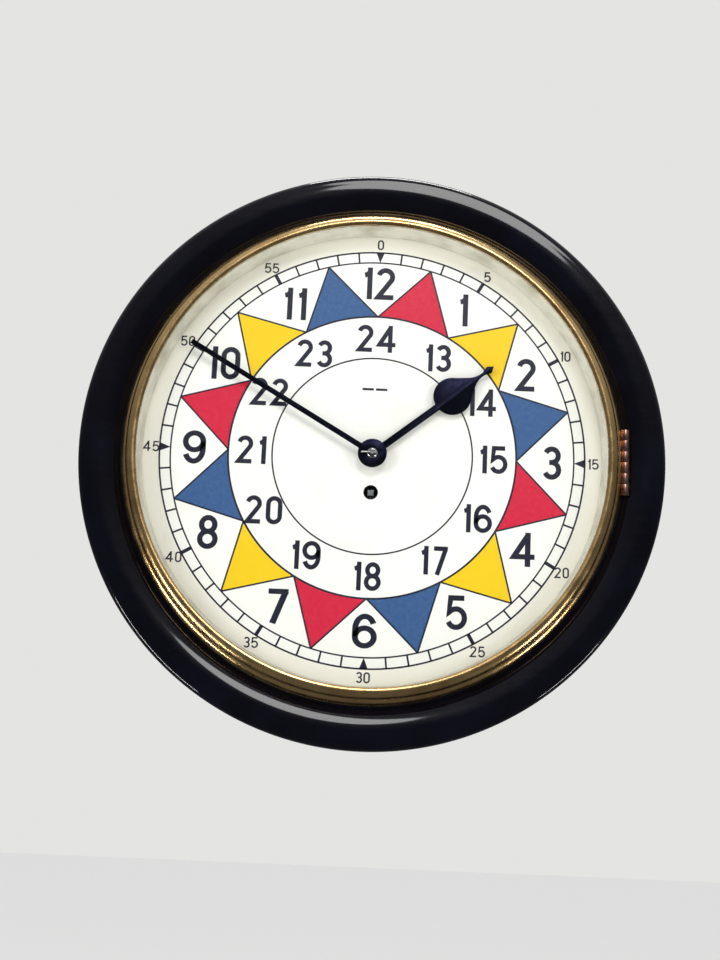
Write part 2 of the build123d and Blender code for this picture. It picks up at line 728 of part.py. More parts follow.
def plate_outline(start):
    """Both plates have the same outline, with rounded corners."""
    slab((-plate_half_width, plate_half_width), (plate_bottom, plate_top), (start, start + plate_thickness))


def make_frame():
    with BuildPart() as front:
        plate_outline(front_plate_back)
        fillet(front.edges().filter_by(Axis.Y), radius=5)
        for centre, front_hole, _ in pivot_table():
            bores([centre], front_plate_back, plate_front, front_hole + running)
        bores([pallet_axis], front_plate_back, plate_front, pivot + running)
        bores([stud_axis], front_plate_back, plate_front, 1.5 + running)
        bores(pillar_spots, front_plate_back, plate_front, pillar_tail + running)
        bores(foot_spots, front_plate_back, plate_front, foot_tail + running)
    finish(front, "front_plate")
    with BuildPart() as back:
        plate_outline(back_plate_back)
        fillet(back.edges().filter_by(Axis.Y), radius=5)
        for centre, _, back_hole in pivot_table():
            bores([centre], back_plate_back, back_plate_front, back_hole + running)
        bores([pallet_axis], back_plate_back, back_plate_front, 5)
        bores(pillar_spots, back_plate_back, back_plate_front, pillar_tail + running)
        bores(cock_screw_spots, back_plate_back, back_plate_front, cock_screw_radius + running)
    finish(back, "back_plate")
    with BuildPart() as pillars:
        rounds_at(pillar_spots, [(back_plate_back, back_plate_front, pillar_tail),
                                 (back_plate_front, front_plate_back, pillar_radius),
                                 (front_plate_back, plate_front + 4, pillar_tail)])
        cross_holes(pillar_spots, plate_front + 1.2)
    finish(pillars, "plate_pillars")
    with BuildPart() as pins:
        for spots, height in ((pillar_spots, plate_front + 1.2), (foot_spots, front_plate_back - 1.2)):
            for x, z in spots:
                with BuildSketch(Plane.YZ.offset(x - 5)):
                    with Locations((-height, z)):
                        Circle(pin_radius)
                extrude(amount=10)
    finish(pins, "taper_pins")


# ---- Train ----
def spindle(centre, body_radius):
    """An arbor between the plates, with a pivot in each."""
    start, end = back_plate_front + 0.5, front_plate_back - 0.5
    rounds(centre, [(back_plate_back + 0.2, start, pivot), (start, end, body_radius),
                    (end, plate_front - 0.2, pivot)])


def make_train():
    gap = back_plate_front
    centre_phase = 0.0
    centre_pinion_phase = 90.0
    great_phase = mesh_phase(pinion_leaves, centre_pinion_phase, great_teeth, -90)
    third_pinion_phase = mesh_phase(centre_teeth, centre_phase, pinion_leaves, third_direction)
    third_phase = 0.0
    escape_pinion_phase = mesh_phase(third_teeth, third_phase, pinion_leaves, escape_direction)
    tip = pin_height + 1.7
    with BuildPart() as centre_arbor:
        rounds(centre_axis, [(back_plate_back + 0.2, gap + 0.5, pivot),
                             (gap + 0.5, front_plate_back - 0.5, 1.6),
                             (front_plate_back - 0.5, tip, centre_arbor_radius)])
        gear(centre_axis, gap + 4.6, 3.8, pinion_leaves, great_module, PINION, centre_pinion_phase)
        with BuildSketch(Plane.YZ.offset(-4)):
            with Locations((-pin_height, 0)):
                Circle(0.8)
        extrude(amount=8, mode=Mode.SUBTRACT)
        gear(centre_axis, gap + 2, 2, centre_teeth, centre_module, WHEEL, centre_phase)
        crossings(centre_axis, gap + 2, 2, 20.5, 5, 5, 3)
    finish(centre_arbor, "centre_wheel")
    with BuildPart() as great_wheel:
        gear(fusee_axis, gap + 5.2, 2.5, great_teeth, great_module, WHEEL, great_phase)
        bores([fusee_axis], gap + 5.2, gap + 7.7, fusee_arbor_radius + running)
    finish(great_wheel, "great_wheel")
    make_fusee()
    with BuildPart() as third:
        spindle(third_axis, 1.3)
        gear(third_axis, gap + 1, 4.4, pinion_leaves, centre_module, PINION, third_pinion_phase)
        gear(third_axis, third_wheel_height, 2, third_teeth, third_module, WHEEL, third_phase)
        crossings(third_axis, third_wheel_height, 2, 16.6, 4.5, 5, 2.8)
    finish(third, "third_wheel")
    with BuildPart() as escape:
        spindle(escape_axis, 1.2)
        gear(escape_axis, third_wheel_height - 1.5, 5, pinion_leaves, third_module, PINION,
             escape_pinion_phase)
        with BuildSketch(level(gap + 8)):
            with BuildLine():
                Polyline(escape_points(), close=True)
            make_face()
        extrude(amount=2)
        crossings(escape_axis, gap + 8, 2, 11.4, 3.6, 4, 2.4)
    finish(escape, "escape_wheel")


def escape_points():
    """Saw teeth of the escape wheel."""
    step = 360 / escape_teeth
    points = []
    for index in range(escape_teeth):
        for radius, share in ((escape_radius - 2.8, 0.0), (escape_radius, 0.22), (escape_radius, 0.30),
                              (escape_radius - 2.8, 0.62)):
            angle = math.radians((index + share) * step)
            points.append((escape_axis[0] + radius * math.cos(angle),
                           escape_axis[1] + radius * math.sin(angle)))
    return points


def fusee_radius(share):
    """Radius of the fusee's cone from its great end (0) to its small end (1)."""
    return fusee_great_radius / (1 + 1.25 * share)


def make_fusee():
    first = fusee_start + 1.2
    groove_depth, groove_width = 1.3, fusee_pitch - 1.8
    profile = [(0, fusee_start), (fusee_radius(0), fusee_start)]
    for turn in range(fusee_turns):
        share = turn / fusee_turns
        height = first + turn * fusee_pitch
        floor = fusee_radius(share) - groove_depth
        profile += [(fusee_radius(share), height), (floor, height + 0.4),
                    (floor, height + 0.4 + groove_width),
                    (fusee_radius(share + 1 / fusee_turns), height + 0.8 + groove_width)]
    end = first + fusee_turns * fusee_pitch
    cap_radius, cap_end = fusee_radius(1) + 1.5, end + 1.4
    profile += [(fusee_radius(1), end), (cap_radius, end), (cap_radius, cap_end), (0, cap_end)]
    square_start = plate_front + 4
    with BuildPart() as fusee:
        turned(profile, fusee_axis)
        rounds(fusee_axis, [(back_plate_back + 0.2, back_plate_front + 0.5, winding_pivot),
                            (back_plate_front + 0.5, fusee_start, fusee_arbor_radius),
                            (cap_end, front_plate_back - 0.5, fusee_arbor_radius + 1),
                            (front_plate_back - 0.5, square_start, winding_radius)])
        with BuildSketch(level(square_start)):
            with Locations(fusee_axis):
                Rectangle(4.3, 4.3)
        extrude(amount=dial_height - 2 - square_start)
    finish(fusee, "fusee")


# ---- Going barrel ----
def make_barrel():
    start, end = barrel_start, barrel_end
    lid = 1.5
    hub_radius = 7.0
    inner_wall = barrel_radius - barrel_wall
    with BuildPart() as barrel:
        turned([(barrel_arbor_radius + running, start), (barrel_radius, start), (barrel_radius, end),
                (inner_wall, end), (inner_wall, start + lid), (barrel_arbor_radius + running, start + lid)],
               barrel_axis)
    finish(barrel, "barrel")
    with BuildPart() as cap:
        rounds(barrel_axis, [(end - lid, end, inner_wall - 0.02)])
        bores([barrel_axis], end - lid, end, barrel_arbor_radius + running)
    finish(cap, "barrel_cap")
    with BuildPart() as arbor:
        rounds(barrel_axis, [(back_plate_back + 0.2, plate_front + 4, barrel_arbor_radius),
                             (start + lid + 0.4, end - lid - 0.4, hub_radius)])
    finish(arbor, "barrel_arbor")
    with BuildPart() as spring:
        with BuildSketch(level(start + lid + 1)):
            with BuildLine():
                Polyline(spiral(hub_radius + 0.4, inner_wall - 0.4, 7), close=True)
            make_face()
        extrude(amount=end - start - 2 * lid - 2)
    finish(spring, "mainspring")
    band_pitch = (end - start - 5.9) / 6
    inside, outside = barrel_radius + 0.02, barrel_radius + 1.2
    with BuildPart() as chain:
        for turn in range(6):
            low = start + 3 + turn * band_pitch
            high = low + 1.6
            turned([(inside, low), (outside, low), (outside, high), (inside, high)], barrel_axis)
    finish(chain, "barrel_chain")
    make_ratchet()


def make_ratchet():
    x, z = barrel_axis
    teeth = 24
    points = []
    for index in range(teeth):
        for radius, share in ((8.6, 0.0), (10.0, 0.05), (8.6, 0.95)):
            angle = math.radians((index + share) * 360 / teeth)
            points.append((x + radius * math.cos(angle), z + radius * math.sin(angle)))
    click = [(x - 4, z + 19), (x + 4, z + 19), (x + 4, z + 13), (x + 1.2, z + 10.4), (x - 1.2, z + 13)]
    start = plate_front + 0.1
    with BuildPart() as ratchet:
        for outline in (points, click):
            with BuildSketch(level(start)):
                with BuildLine():
                    Polyline(outline, close=True)
                make_face()
            extrude(amount=2)
        bores([barrel_axis], start, start + 2, barrel_arbor_radius + running)
        rounds((x, z + 16), [(start + 2, start + 3.3, 2.4)])
    finish(ratchet, "setup_ratchet_and_click")


def spiral(inner, outer, turns):
    """Outline of a flat spring wound from the hub out to the wall."""
    steps = turns * 20
    thickness = 0.7
    rims = ([], [])
    for index in range(steps + 1):
        share = index / steps
        angle = 2 * math.pi * turns * share
        radius = inner + (outer - inner - thickness) * share
        for rim, extra in zip(rims, (0, thickness)):
            rim.append((barrel_axis[0] + (radius + extra) * math.cos(angle),
                        barrel_axis[1] + (radius + extra) * math.sin(angle)))
    return rims[0] + rims[1][::-1]


def make_chain():
    """The straight run of chain between the fusee and the barrel."""
    reach = math.dist(fusee_axis, barrel_axis)
    direction = math.atan2(barrel_axis[1] - fusee_axis[1], barrel_axis[0] - fusee_axis[0])
    small, large = fusee_radius(0.5) + 2.4, barrel_radius + 2.2
    lean = math.asin((large - small) / reach)
    normal = direction - math.pi / 2 - lean
    start = (fusee_axis[0] + small * math.cos(normal), fusee_axis[1] + small * math.sin(normal))
    end = (barrel_axis[0] + large * math.cos(normal), barrel_axis[1] + large * math.sin(normal))
    across = (0.6 * math.cos(normal), 0.6 * math.sin(normal))
    with BuildPart() as chain:
        with BuildSketch(level((fusee_start + barrel_end) / 2 - 1)):
            with BuildLine():
                Polyline([(start[0] - across[0], start[1] - across[1]),
                          (start[0] + across[0], start[1] + across[1]),
                          (end[0] + across[0], end[1] + across[1]), (end[0] - across[0], end[1] - across[1])],
                         close=True)
            make_face()
        extrude(amount=1.6)
    finish(chain, "chain_run")


# ---- Escapement and pendulum ----
def make_escapement():
    gap = back_plate_front
    nib = escape_radius + 1.0
    with BuildPart() as pallets:
        rounds(pallet_axis, [(cock_height - 2.8, crutch_height - 1, pivot),
                             (crutch_height - 1, front_plate_back - 0.5, 1.3),
                             (front_plate_back - 0.5, plate_front - 0.2, pivot)])
        with BuildSketch(level(gap + 7)):
            with Locations(pallet_axis):
                Circle(3.2)
            with BuildLine():
                Polyline(anchor_points(nib), close=True)
            make_face()
        extrude(amount=4)
        with BuildSketch(level(crutch_height)):
            with Locations(pallet_axis):
                Circle(3.2)
            with Locations((0, pallet_axis[1] - 23)):
                Rectangle(2.4, 46)
        extrude(amount=1.4)
        foot = pallet_axis[1] - 46
        slab((-4.2, 4.2), (foot - 2, foot + 2), (crutch_height, crutch_height + 1.4))
        for side in (-1, 1):
            spans = sorted((side * (rod_radius + 0.3), side * 4.2))
            slab(spans, (foot - 2, foot + 2), (pendulum_height - 2, crutch_height))
    finish(pallets, "pallets_and_crutch")
    with BuildPart() as cock:
        slab((-24, 24), (pallet_axis[1] - 4, pallet_axis[1] + 12), (cock_height - 3, cock_height))
        for x, z in cock_screw_spots:
            slab((x - 5, x + 5), (z - 4, z + 4), (cock_height, back_plate_back))
        slab((-4, 4), (pallet_axis[1] + 2.5, pallet_axis[1] + 9), (pendulum_height - 5, cock_height - 3))
        slab((-0.6, 0.6), (pallet_axis[1] + 2, pallet_axis[1] + 10), (pendulum_height - 6, cock_height - 3),
             Mode.SUBTRACT)
        bores([pallet_axis], cock_height - 4, cock_height, pivot + running)
        bores(cock_screw_spots, cock_height - 4, back_plate_back, cock_screw_radius + running)
    finish(cock, "back_cock")
    with BuildPart() as screws:
        rounds_at(cock_screw_spots, [(cock_height - 4.6, cock_height - 3, 3.0),
                                     (cock_height - 3, back_plate_front - 0.3, cock_screw_radius)])
    finish(screws, "cock_screws")
    with BuildPart() as spring:
        slab((-0.15, 0.15), (pallet_axis[1] - 8, pallet_axis[1] + 8),
             (pendulum_height - chop_half, pendulum_height + chop_half))
    finish(spring, "suspension_spring")


def anchor_points(nib):
    """Outline of the anchor, whose nibs stand just off the wheel's tips."""
    rim = [(135, 0.0), (120, 1.2), (105, 1.2), (90, 1.2), (75, 1.2), (60, 1.2), (45, 0.0),
           (47, 4.5), (62, 4.2), (80, 7.5), (100, 7.5), (118, 4.2), (133, 4.5)]
    turns = [(math.radians(angle), nib + extra) for angle, extra in rim]
    return [(escape_axis[0] + radius * math.cos(angle), escape_axis[1] + radius * math.sin(angle))
            for angle, radius in turns]


def make_pendulum():
    rod_top = pallet_axis[1] - 6
    chops = (pendulum_height - chop_half, pendulum_height + chop_half)
    with BuildPart() as rod:
        with BuildSketch(Plane.XY.offset(rod_end)):
            with Locations((0, -pendulum_height)):
                Circle(rod_radius)
        extrude(amount=rod_top - rod_end)
        slab((-2.4, 2.4), (rod_top - 4, rod_top), chops)
        slab((-0.17, 0.17), (pallet_axis[1] - 8.1, rod_top + 1), (chops[0] - 0.1, chops[1] + 0.1),
             Mode.SUBTRACT)
    finish(rod, "pendulum_rod")
    with BuildPart() as bob:
        with BuildSketch(Plane.XY.offset(bob_z)):
            with BuildLine():
                Line((0, -(pendulum_height - 6)), (0, -(pendulum_height + 6)))
                ThreePointArc((0, -(pendulum_height + 6)), (bob_radius * 0.6, -(pendulum_height + 4.4)),
                              (bob_radius, -(pendulum_height + 0.6)))
                Line((bob_radius, -(pendulum_height + 0.6)), (bob_radius, -(pendulum_height - 0.6)))
                ThreePointArc((bob_radius, -(pendulum_height - 0.6)),
                              (bob_radius * 0.6, -(pendulum_height - 4.4)),
                              (0, -(pendulum_height - 6)))
            make_face()
        revolve(axis=Axis((0, 0, bob_z), (0, 1, 0)))
        with BuildSketch(Plane.XY.offset(bob_z - bob_radius - 1)):
            with Locations((0, -pendulum_height)):
                Circle(rod_radius + running)
        extrude(amount=2 * bob_radius + 2, mode=Mode.SUBTRACT)
    finish(bob, "pendulum_bob")
    with BuildPart() as nut:
        with BuildSketch(Plane.XY.offset(nut_top - nut_thickness)):
            with Locations((0, -pendulum_height)):
                Circle(4.5)
                Circle(rod_radius + running, mode=Mode.SUBTRACT)
        extrude(amount=nut_thickness)
    finish(nut, "rating_nut")


make_surround()
make_cheeks_and_pegs()
make_box()
make_hanging_plate()
make_doors()
make_dial()
make_bezel()
make_hinge()
make_hands()
make_motion_work()
make_frame()
make_train()
make_barrel()
make_chain()
make_escapement()
make_pendulum()
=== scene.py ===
import json
import logging
import math
from dataclasses import dataclass, field
from enum import Enum
from typing import Callable, Sequence

import bpy
from mathutils import Matrix, Vector


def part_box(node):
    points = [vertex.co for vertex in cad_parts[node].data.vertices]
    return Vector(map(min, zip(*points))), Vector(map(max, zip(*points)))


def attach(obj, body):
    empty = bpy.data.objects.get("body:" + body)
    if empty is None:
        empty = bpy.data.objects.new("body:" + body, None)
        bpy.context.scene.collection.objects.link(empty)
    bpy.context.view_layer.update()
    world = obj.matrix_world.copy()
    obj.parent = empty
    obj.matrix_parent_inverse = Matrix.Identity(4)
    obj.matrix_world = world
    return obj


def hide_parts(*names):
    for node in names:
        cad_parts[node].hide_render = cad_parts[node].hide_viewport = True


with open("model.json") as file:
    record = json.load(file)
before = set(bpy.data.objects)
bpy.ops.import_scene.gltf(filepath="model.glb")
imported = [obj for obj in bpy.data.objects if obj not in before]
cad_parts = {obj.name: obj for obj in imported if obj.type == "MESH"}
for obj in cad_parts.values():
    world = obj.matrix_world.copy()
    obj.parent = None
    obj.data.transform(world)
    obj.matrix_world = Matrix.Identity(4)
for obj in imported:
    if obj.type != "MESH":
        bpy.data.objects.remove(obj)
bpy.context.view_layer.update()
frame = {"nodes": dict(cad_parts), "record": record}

logging.basicConfig(level=logging.INFO, format="%(message)s")
log = logging.getLogger("clock")

MM = 0.001
FULL_TURN = 2 * math.pi
HOUR_DEG = 30
MINUTE_DEG = 6
BRASS = "#D8B468"
BRASS_TARNISH = "#8A6836"
WINDING_HOLE = (-28.39, 5.5)  # height of its centre above the hands' axis, and radius, in millimetres
MID_NOISE = (0.3, 0.7)  # between these lies most of a noise's range
Point = tuple[float, float]


# ---------------------------------------------------------------------------
# Sizes read from the frame
# ---------------------------------------------------------------------------
@dataclass(frozen=True)
class Measures:
    """Heights out from the wall and radii about the hands' axis, in millimetres."""

    dial_face: float
    dial_radius: float
    surround_radius: float
    surround_back: float
    hinge_x: float
    hinge_height: float
    hinge_half: float
    knuckle_radius: float

    @classmethod
    def from_frame(cls) -> "Measures":
        """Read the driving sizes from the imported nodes.

        Returns:
            The measures that every piece is built from.
        """
        dial_low, dial_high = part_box("dial_plate")
        wood_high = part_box("surround")[1]
        pin_low, pin_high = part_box("bezel_hinge_pin")
        leaf_low, leaf_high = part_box("surround_hinge_leaf")
        return cls(
            dial_face=-dial_low.y / MM,
            dial_radius=dial_high.x / MM,
            surround_radius=wood_high.x / MM,
            surround_back=-wood_high.y / MM,
            hinge_x=(pin_low.x + pin_high.x) / 2 / MM,
            hinge_height=-(pin_low.y + pin_high.y) / 2 / MM,
            hinge_half=leaf_high.z / MM,
            knuckle_radius=(leaf_high.x - leaf_low.x) / 2 / MM,
        )


# ---------------------------------------------------------------------------
# Colours and node helpers
# ---------------------------------------------------------------------------
def linear(hex_code: str) -> tuple[float, float, float, float]:
    """Turn an sRGB hex colour into linear values.

    Args:
        hex_code: A hash and six hex digits.

    Returns:
        Red, green, blue and a full alpha.
    """
    digits = hex_code.lstrip("#")
    channels = [int(digits[i:i + 2], 16) / 255 for i in (0, 2, 4)]
    red, green, blue = (c / 12.92 if c <= 0.04045 else ((c + 0.055) / 1.055) ** 2.4 for c in channels)
    return red, green, blue, 1.0


def add_node(tree: bpy.types.NodeTree, kind: str, settings: dict | None = None,
             links: dict | None = None) -> bpy.types.Node:
    """Add a node, set its properties and sockets, and link its inputs.

    Args:
        tree: The node tree to add to.
        kind: Blender's name for the node.
        settings: Property or input-socket values by name or index.
        links: Output sockets to plug into inputs, by input name or index.

    Returns:
        The new node.
    """
    node = tree.nodes.new(kind)
    for key, value in (settings or {}).items():
        if isinstance(key, str) and hasattr(node, key):
            setattr(node, key, value)
        else:
            node.inputs[key].default_value = value
    for key, source in (links or {}).items():
        tree.links.new(source, node.inputs[key])
    return node


class Surface:
    """A material under construction: its tree, shader and object coordinates."""

    def __init__(self, name: str, **shader: float | tuple) -> None:
        """Start a material.

        Args:
            name: The material's name.
            shader: Values for the shader's own sockets, with spaces as underscores.
        """
        self.material = bpy.data.materials.new(name)
        self.material.use_nodes = True
        self.tree = self.material.node_tree
        self.shader = self.tree.nodes["Principled BSDF"]
        for key, value in shader.items():
            self.shader.inputs[key.replace("_", " ")].default_value = value
        self.place = add_node(self.tree, "ShaderNodeTexCoord").outputs["Object"]

    def noise(self, size_mm: float, detail: float = 3.0, stretch: Sequence[float] = (1, 1, 1),
              roughness: float = 0.5) -> bpy.types.NodeSocket:
        """Noise with features of a real size.

        Args:
            size_mm: Typical size of a patch in millimetres.
            detail: Octaves of detail.
            stretch: How many times longer a patch is along each axis.
            roughness: Weight of the fine octaves.

        Returns:
            The noise factor.
        """
        scale = tuple(1 / axis for axis in stretch)
        mapped = add_node(self.tree, "ShaderNodeMapping", {"Scale": scale}, {"Vector": self.place})
        node = add_node(self.tree, "ShaderNodeTexNoise",
                        {"Scale": 1 / (size_mm * MM), "Detail": detail, "Roughness": roughness},
                        {"Vector": mapped.outputs[0]})
        return node.outputs["Fac"]

    def feed(self, socket: bpy.types.NodeSocket, value: bpy.types.NodeSocket | tuple | float) -> None:
        """Link an input to another node's output, or set it when given a plain value."""
        if isinstance(value, bpy.types.NodeSocket):
            self.tree.links.new(value, socket)
        else:
            socket.default_value = value

    def remap(self, factor: bpy.types.NodeSocket, low: float, high: float, out_low: float,
              out_high: float) -> bpy.types.NodeSocket:
        """Stretch part of a factor's range onto another range.

        Returns:
            The remapped value.
        """
        node = add_node(self.tree, "ShaderNodeMapRange",
                        {"From Min": low, "From Max": high, "To Min": out_low, "To Max": out_high},
                        {"Value": factor})
        return node.outputs["Result"]

    def mix(self, factor: bpy.types.NodeSocket, first: bpy.types.NodeSocket | tuple,
            second: bpy.types.NodeSocket | tuple) -> bpy.types.NodeSocket:
        """Mix two colours by a factor.

        Returns:
            The mixed colour.
        """
        node = add_node(self.tree, "ShaderNodeMix", {"data_type": "RGBA"}, {0: factor})
        self.feed(node.inputs[6], first)
        self.feed(node.inputs[7], second)
        return node.outputs[2]

    def math(self, operation: str, first: bpy.types.NodeSocket | float,
             second: bpy.types.NodeSocket | float = 0.0) -> bpy.types.NodeSocket:
        """One arithmetic step.

        Returns:
            The result.
        """
        node = add_node(self.tree, "ShaderNodeMath", {"operation": operation})
        self.feed(node.inputs[0], first)
        self.feed(node.inputs[1], second)
        return node.outputs[0]

    def radius(self, height_mm: float = 0.0) -> bpy.types.NodeSocket:
        """Distance in metres from the hands' axis, or from one this far above it."""
        moved = add_node(self.tree, "ShaderNodeVectorMath",
                         {"operation": "SUBTRACT", 1: (0, 0, height_mm * MM)}, {0: self.place})
        flat = add_node(self.tree, "ShaderNodeVectorMath", {"operation": "MULTIPLY", 1: (1, 0, 1)},
                        {0: moved.outputs[0]})
        return add_node(self.tree, "ShaderNodeVectorMath", {"operation": "LENGTH"},
                        {0: flat.outputs[0]}).outputs["Value"]

    def clouded(self, clean: str, clouds: str, size_mm: float, detail: float, share: Point,
                roughness: float = 0.5) -> bpy.types.NodeSocket:
        """A colour that goes over into another in clouds of a real size.

        Args:
            clean: Hex colour between the clouds.
            clouds: Hex colour of the clouds.
            size_mm: Typical size of a cloud in millimetres.
            detail: Octaves of detail.
            share: The noise values at which a cloud begins and is full.
            roughness: Weight of the fine octaves.

        Returns:
            The clouded colour.
        """
        cover = self.remap(self.noise(size_mm, detail, roughness=roughness), *share, 0, 1)
        return self.mix(cover, linear(clean), linear(clouds))

    def colour(self, source: bpy.types.NodeSocket) -> None:
        """Plug a colour into the shader."""
        self.tree.links.new(source, self.shader.inputs["Base Color"])

    def roughness(self, source: bpy.types.NodeSocket) -> None:
        """Plug a roughness into the shader."""
        self.tree.links.new(source, self.shader.inputs["Roughness"])

    def patchy_roughness(self, size_mm: float, detail: float, low: float, high: float) -> None:
        """Let the roughness wander between two values in patches of a real size."""
        self.roughness(self.remap(self.noise(size_mm, detail), *MID_NOISE, low, high))

    def bump(self, *layers: tuple[bpy.types.NodeSocket, float]) -> None:
        """Stack bump layers, each a height factor and its depth in millimetres."""
        normal = None
        for factor, depth_mm in layers:
            node = add_node(self.tree, "ShaderNodeBump", {"Strength": 1.0, "Distance": depth_mm * MM},
                            {"Height": factor})
            if normal is not None:
                self.tree.links.new(normal, node.inputs["Normal"])
            normal = node.outputs["Normal"]
        self.tree.links.new(normal, self.shader.inputs["Normal"])


# ---------------------------------------------------------------------------
# Finishes
# ---------------------------------------------------------------------------
@dataclass(frozen=True)
class Lacquer:
    """Black gloss lacquer rubbed over turned wood: ink-black with a navy cast and sharp highlights."""

    name: str = "black_gloss_lacquer"
    body: str = "#03030A"
    worn: str = "#070712"
    speck: str = "#24242E"
    ripple_mm: float = 26.0
    brushing: tuple[float, float, float] = (9, 1, 1)

    def build(self) -> bpy.types.Material:
        """Make the material: rubbed clouds, brushed streaks in the gloss and a few dust specks."""
        surface = Surface(self.name, IOR=1.45, Coat_Weight=1.0, Coat_Roughness=0.06, Coat_IOR=1.37)
        surface.shader.inputs["Specular IOR Level"].default_value = 0.05
        tone = surface.clouded(self.body, self.worn, 38, 4, (0.45, 0.75))
        dust = surface.remap(surface.noise(1.1, 1), 0.80, 0.83, 0, 1)
        patches = surface.remap(surface.noise(30, 2), 0.55, 0.65, 0, 1)
        surface.colour(surface.mix(surface.math("MULTIPLY", dust, patches), tone, linear(self.speck)))
        streaks = surface.noise(3.5, 5, self.brushing, 0.65)
        surface.roughness(surface.remap(streaks, 0.35, 0.7, 0.14, 0.36))
        surface.bump((surface.noise(self.ripple_mm, 1), 0.03), (streaks, 0.006))
        return surface.material


@dataclass(frozen=True)
class StainedWood:
    """Dark stained softwood of the box, satin, with open grain along its length."""

    name: str
    light: str = "#4A2C1B"
    dark: str = "#23130C"
    grain_mm: float = 1.4
    along: tuple[float, float, float] = (1, 1, 22)
    rough: float = 0.45

    def build(self) -> bpy.types.Material:
        """Make the material: growth bands, fine fibres and rubbed patches."""
        surface = Surface(self.name, IOR=1.5, Coat_Weight=0.25, Coat_Roughness=0.3)
        bands = surface.noise(self.grain_mm * 6, 4, self.along, 0.6)
        fibres = surface.noise(self.grain_mm, 5, self.along, 0.65)
        blend = surface.math("ADD", surface.math("MULTIPLY", bands, 0.65),
                             surface.math("MULTIPLY", fibres, 0.35))
        lightness = surface.remap(blend, 0.36, 0.62, 0, 1)
        surface.colour(surface.mix(lightness, linear(self.dark), linear(self.light)))
        surface.patchy_roughness(25, 3, self.rough - 0.08, self.rough + 0.14)
        surface.bump((fibres, 0.08), (bands, 0.05))
        return surface.material


@dataclass(frozen=True)
class Metal:
    """A worked metal: turned, grained or polished, with tarnish in broad patches."""

    name: str
    bright: str
    tarnish: str
    rough: tuple[float, float] = (0.12, 0.28)
    patch_mm: float = 26.0
    turned_mm: float = 0.0
    grain: tuple[float, float, float] = (1, 1, 1)
    grain_mm: float = 0.6
    grain_depth_mm: float = 0.006
    tarnish_share: tuple[float, float] = (0.45, 0.75)

    def build(self) -> bpy.types.Material:
        """Make the material: tarnish clouds, hairline scratches and the marks of its working."""
        surface = Surface(self.name, Metallic=1.0)
        surface.colour(surface.clouded(self.bright, self.tarnish, self.patch_mm, 5, self.tarnish_share, 0.62))
        surface.patchy_roughness(self.patch_mm / 3, 5, *self.rough)
        layers = [(surface.noise(self.grain_mm, 3, self.grain), self.grain_depth_mm)]
        if self.turned_mm:
            # rings left by the turning tool, drawn coarser than real so that they show
            rings = surface.math("SINE", surface.math("MULTIPLY", surface.radius(),
                                                      FULL_TURN / (self.turned_mm * MM)))
            layers.append((rings, 0.0012))
        surface.bump(*layers)
        return surface.material


@dataclass(frozen=True)
class OiledPlate:
    """Grained brass plate with painted shade round the winding arbor: black there, where the plate lies in
    shade behind the hole in the dial.
    """

    name: str = "front_plate_brass_painted_shade"
    # painted shade: the near-black colour laid round the winding arbor, where the plate lies in shade behind
    # the dial
    oil: str = "#0A0806"
    stain_mm: tuple[float, float] = (11.0, 16.0)

    def build(self) -> bpy.types.Material:
        """Make the material: grained brass and a matt dark patch of painted shade about the arbor."""
        surface = Surface(self.name)
        full, edge = (radius * MM for radius in self.stain_mm)
        # painted shade: full inside the first radius and gone by the second; it also takes away the metal's
        # shine and makes it rough
        painted_shade_mask = surface.remap(surface.radius(WINDING_HOLE[0]), edge, full, 0, 1)
        brass = surface.clouded(BRASS, BRASS_TARNISH, 22, 5, (0.42, 0.75))
        surface.colour(surface.mix(painted_shade_mask, brass, linear(self.oil)))
        surface.tree.links.new(surface.math("SUBTRACT", 1.0, painted_shade_mask), surface.shader.inputs["Metallic"])
        surface.roughness(surface.remap(painted_shade_mask, 0, 1, 0.28, 0.85))
        surface.bump((surface.noise(0.35, 3, (1, 1, 24)), 0.01))
        return surface.material


@dataclass(frozen=True)
class DialPaint:
    """Gloss oil paint on the metal dial, whiter inside the minute track, warmer outside it."""

    name: str = "dial_white_paint"
    inside: str = "#F8F9F2"
    outside: str = "#F5F3E6"
    yellowed: str = "#EEEAD8"
    # painted shade: near-black laid on the wall of the winding hole, which lies in shade
    hole_paint: str = "#08080A"
    track_mm: float = 160.2
    dial_mm: float = 177.8

    def build(self) -> bpy.types.Material:
        """Make the material: two whites, yellowing towards the rim, fine brush texture and painted shade on
        the winding hole's wall.
        """
        surface = Surface(self.name, IOR=1.48, Coat_Weight=0.35, Coat_Roughness=0.12)
        radius = surface.radius()
        step = surface.remap(radius, (self.track_mm - 0.6) * MM, (self.track_mm + 0.6) * MM, 0, 1)
        rim = surface.remap(radius, (self.track_mm + 2) * MM, self.dial_mm * MM, 0, 0.8)
        outer = surface.mix(rim, linear(self.outside), linear(self.yellowed))
        base = surface.mix(step, linear(self.inside), outer)
        stains = surface.remap(surface.noise(34, 5, roughness=0.6), 0.5, 0.8, 0, 0.35)
        painted = surface.mix(stains, base, linear(self.yellowed))
        # painted shade: the winding hole's wall and a tenth of a millimetre of the face round it are coloured
        # near-black
        hole_height, hole_radius = WINDING_HOLE
        hole_shade_mask = surface.remap(surface.radius(hole_height), (hole_radius + 0.1) * MM,
                               (hole_radius - 0.1) * MM, 0, 1)
        surface.colour(surface.mix(hole_shade_mask, painted, linear(self.hole_paint)))
        surface.patchy_roughness(18, 4, 0.26, 0.4)
        surface.bump((surface.noise(2.2, 3), 0.006), (surface.noise(16, 2), 0.02))
        return surface.material


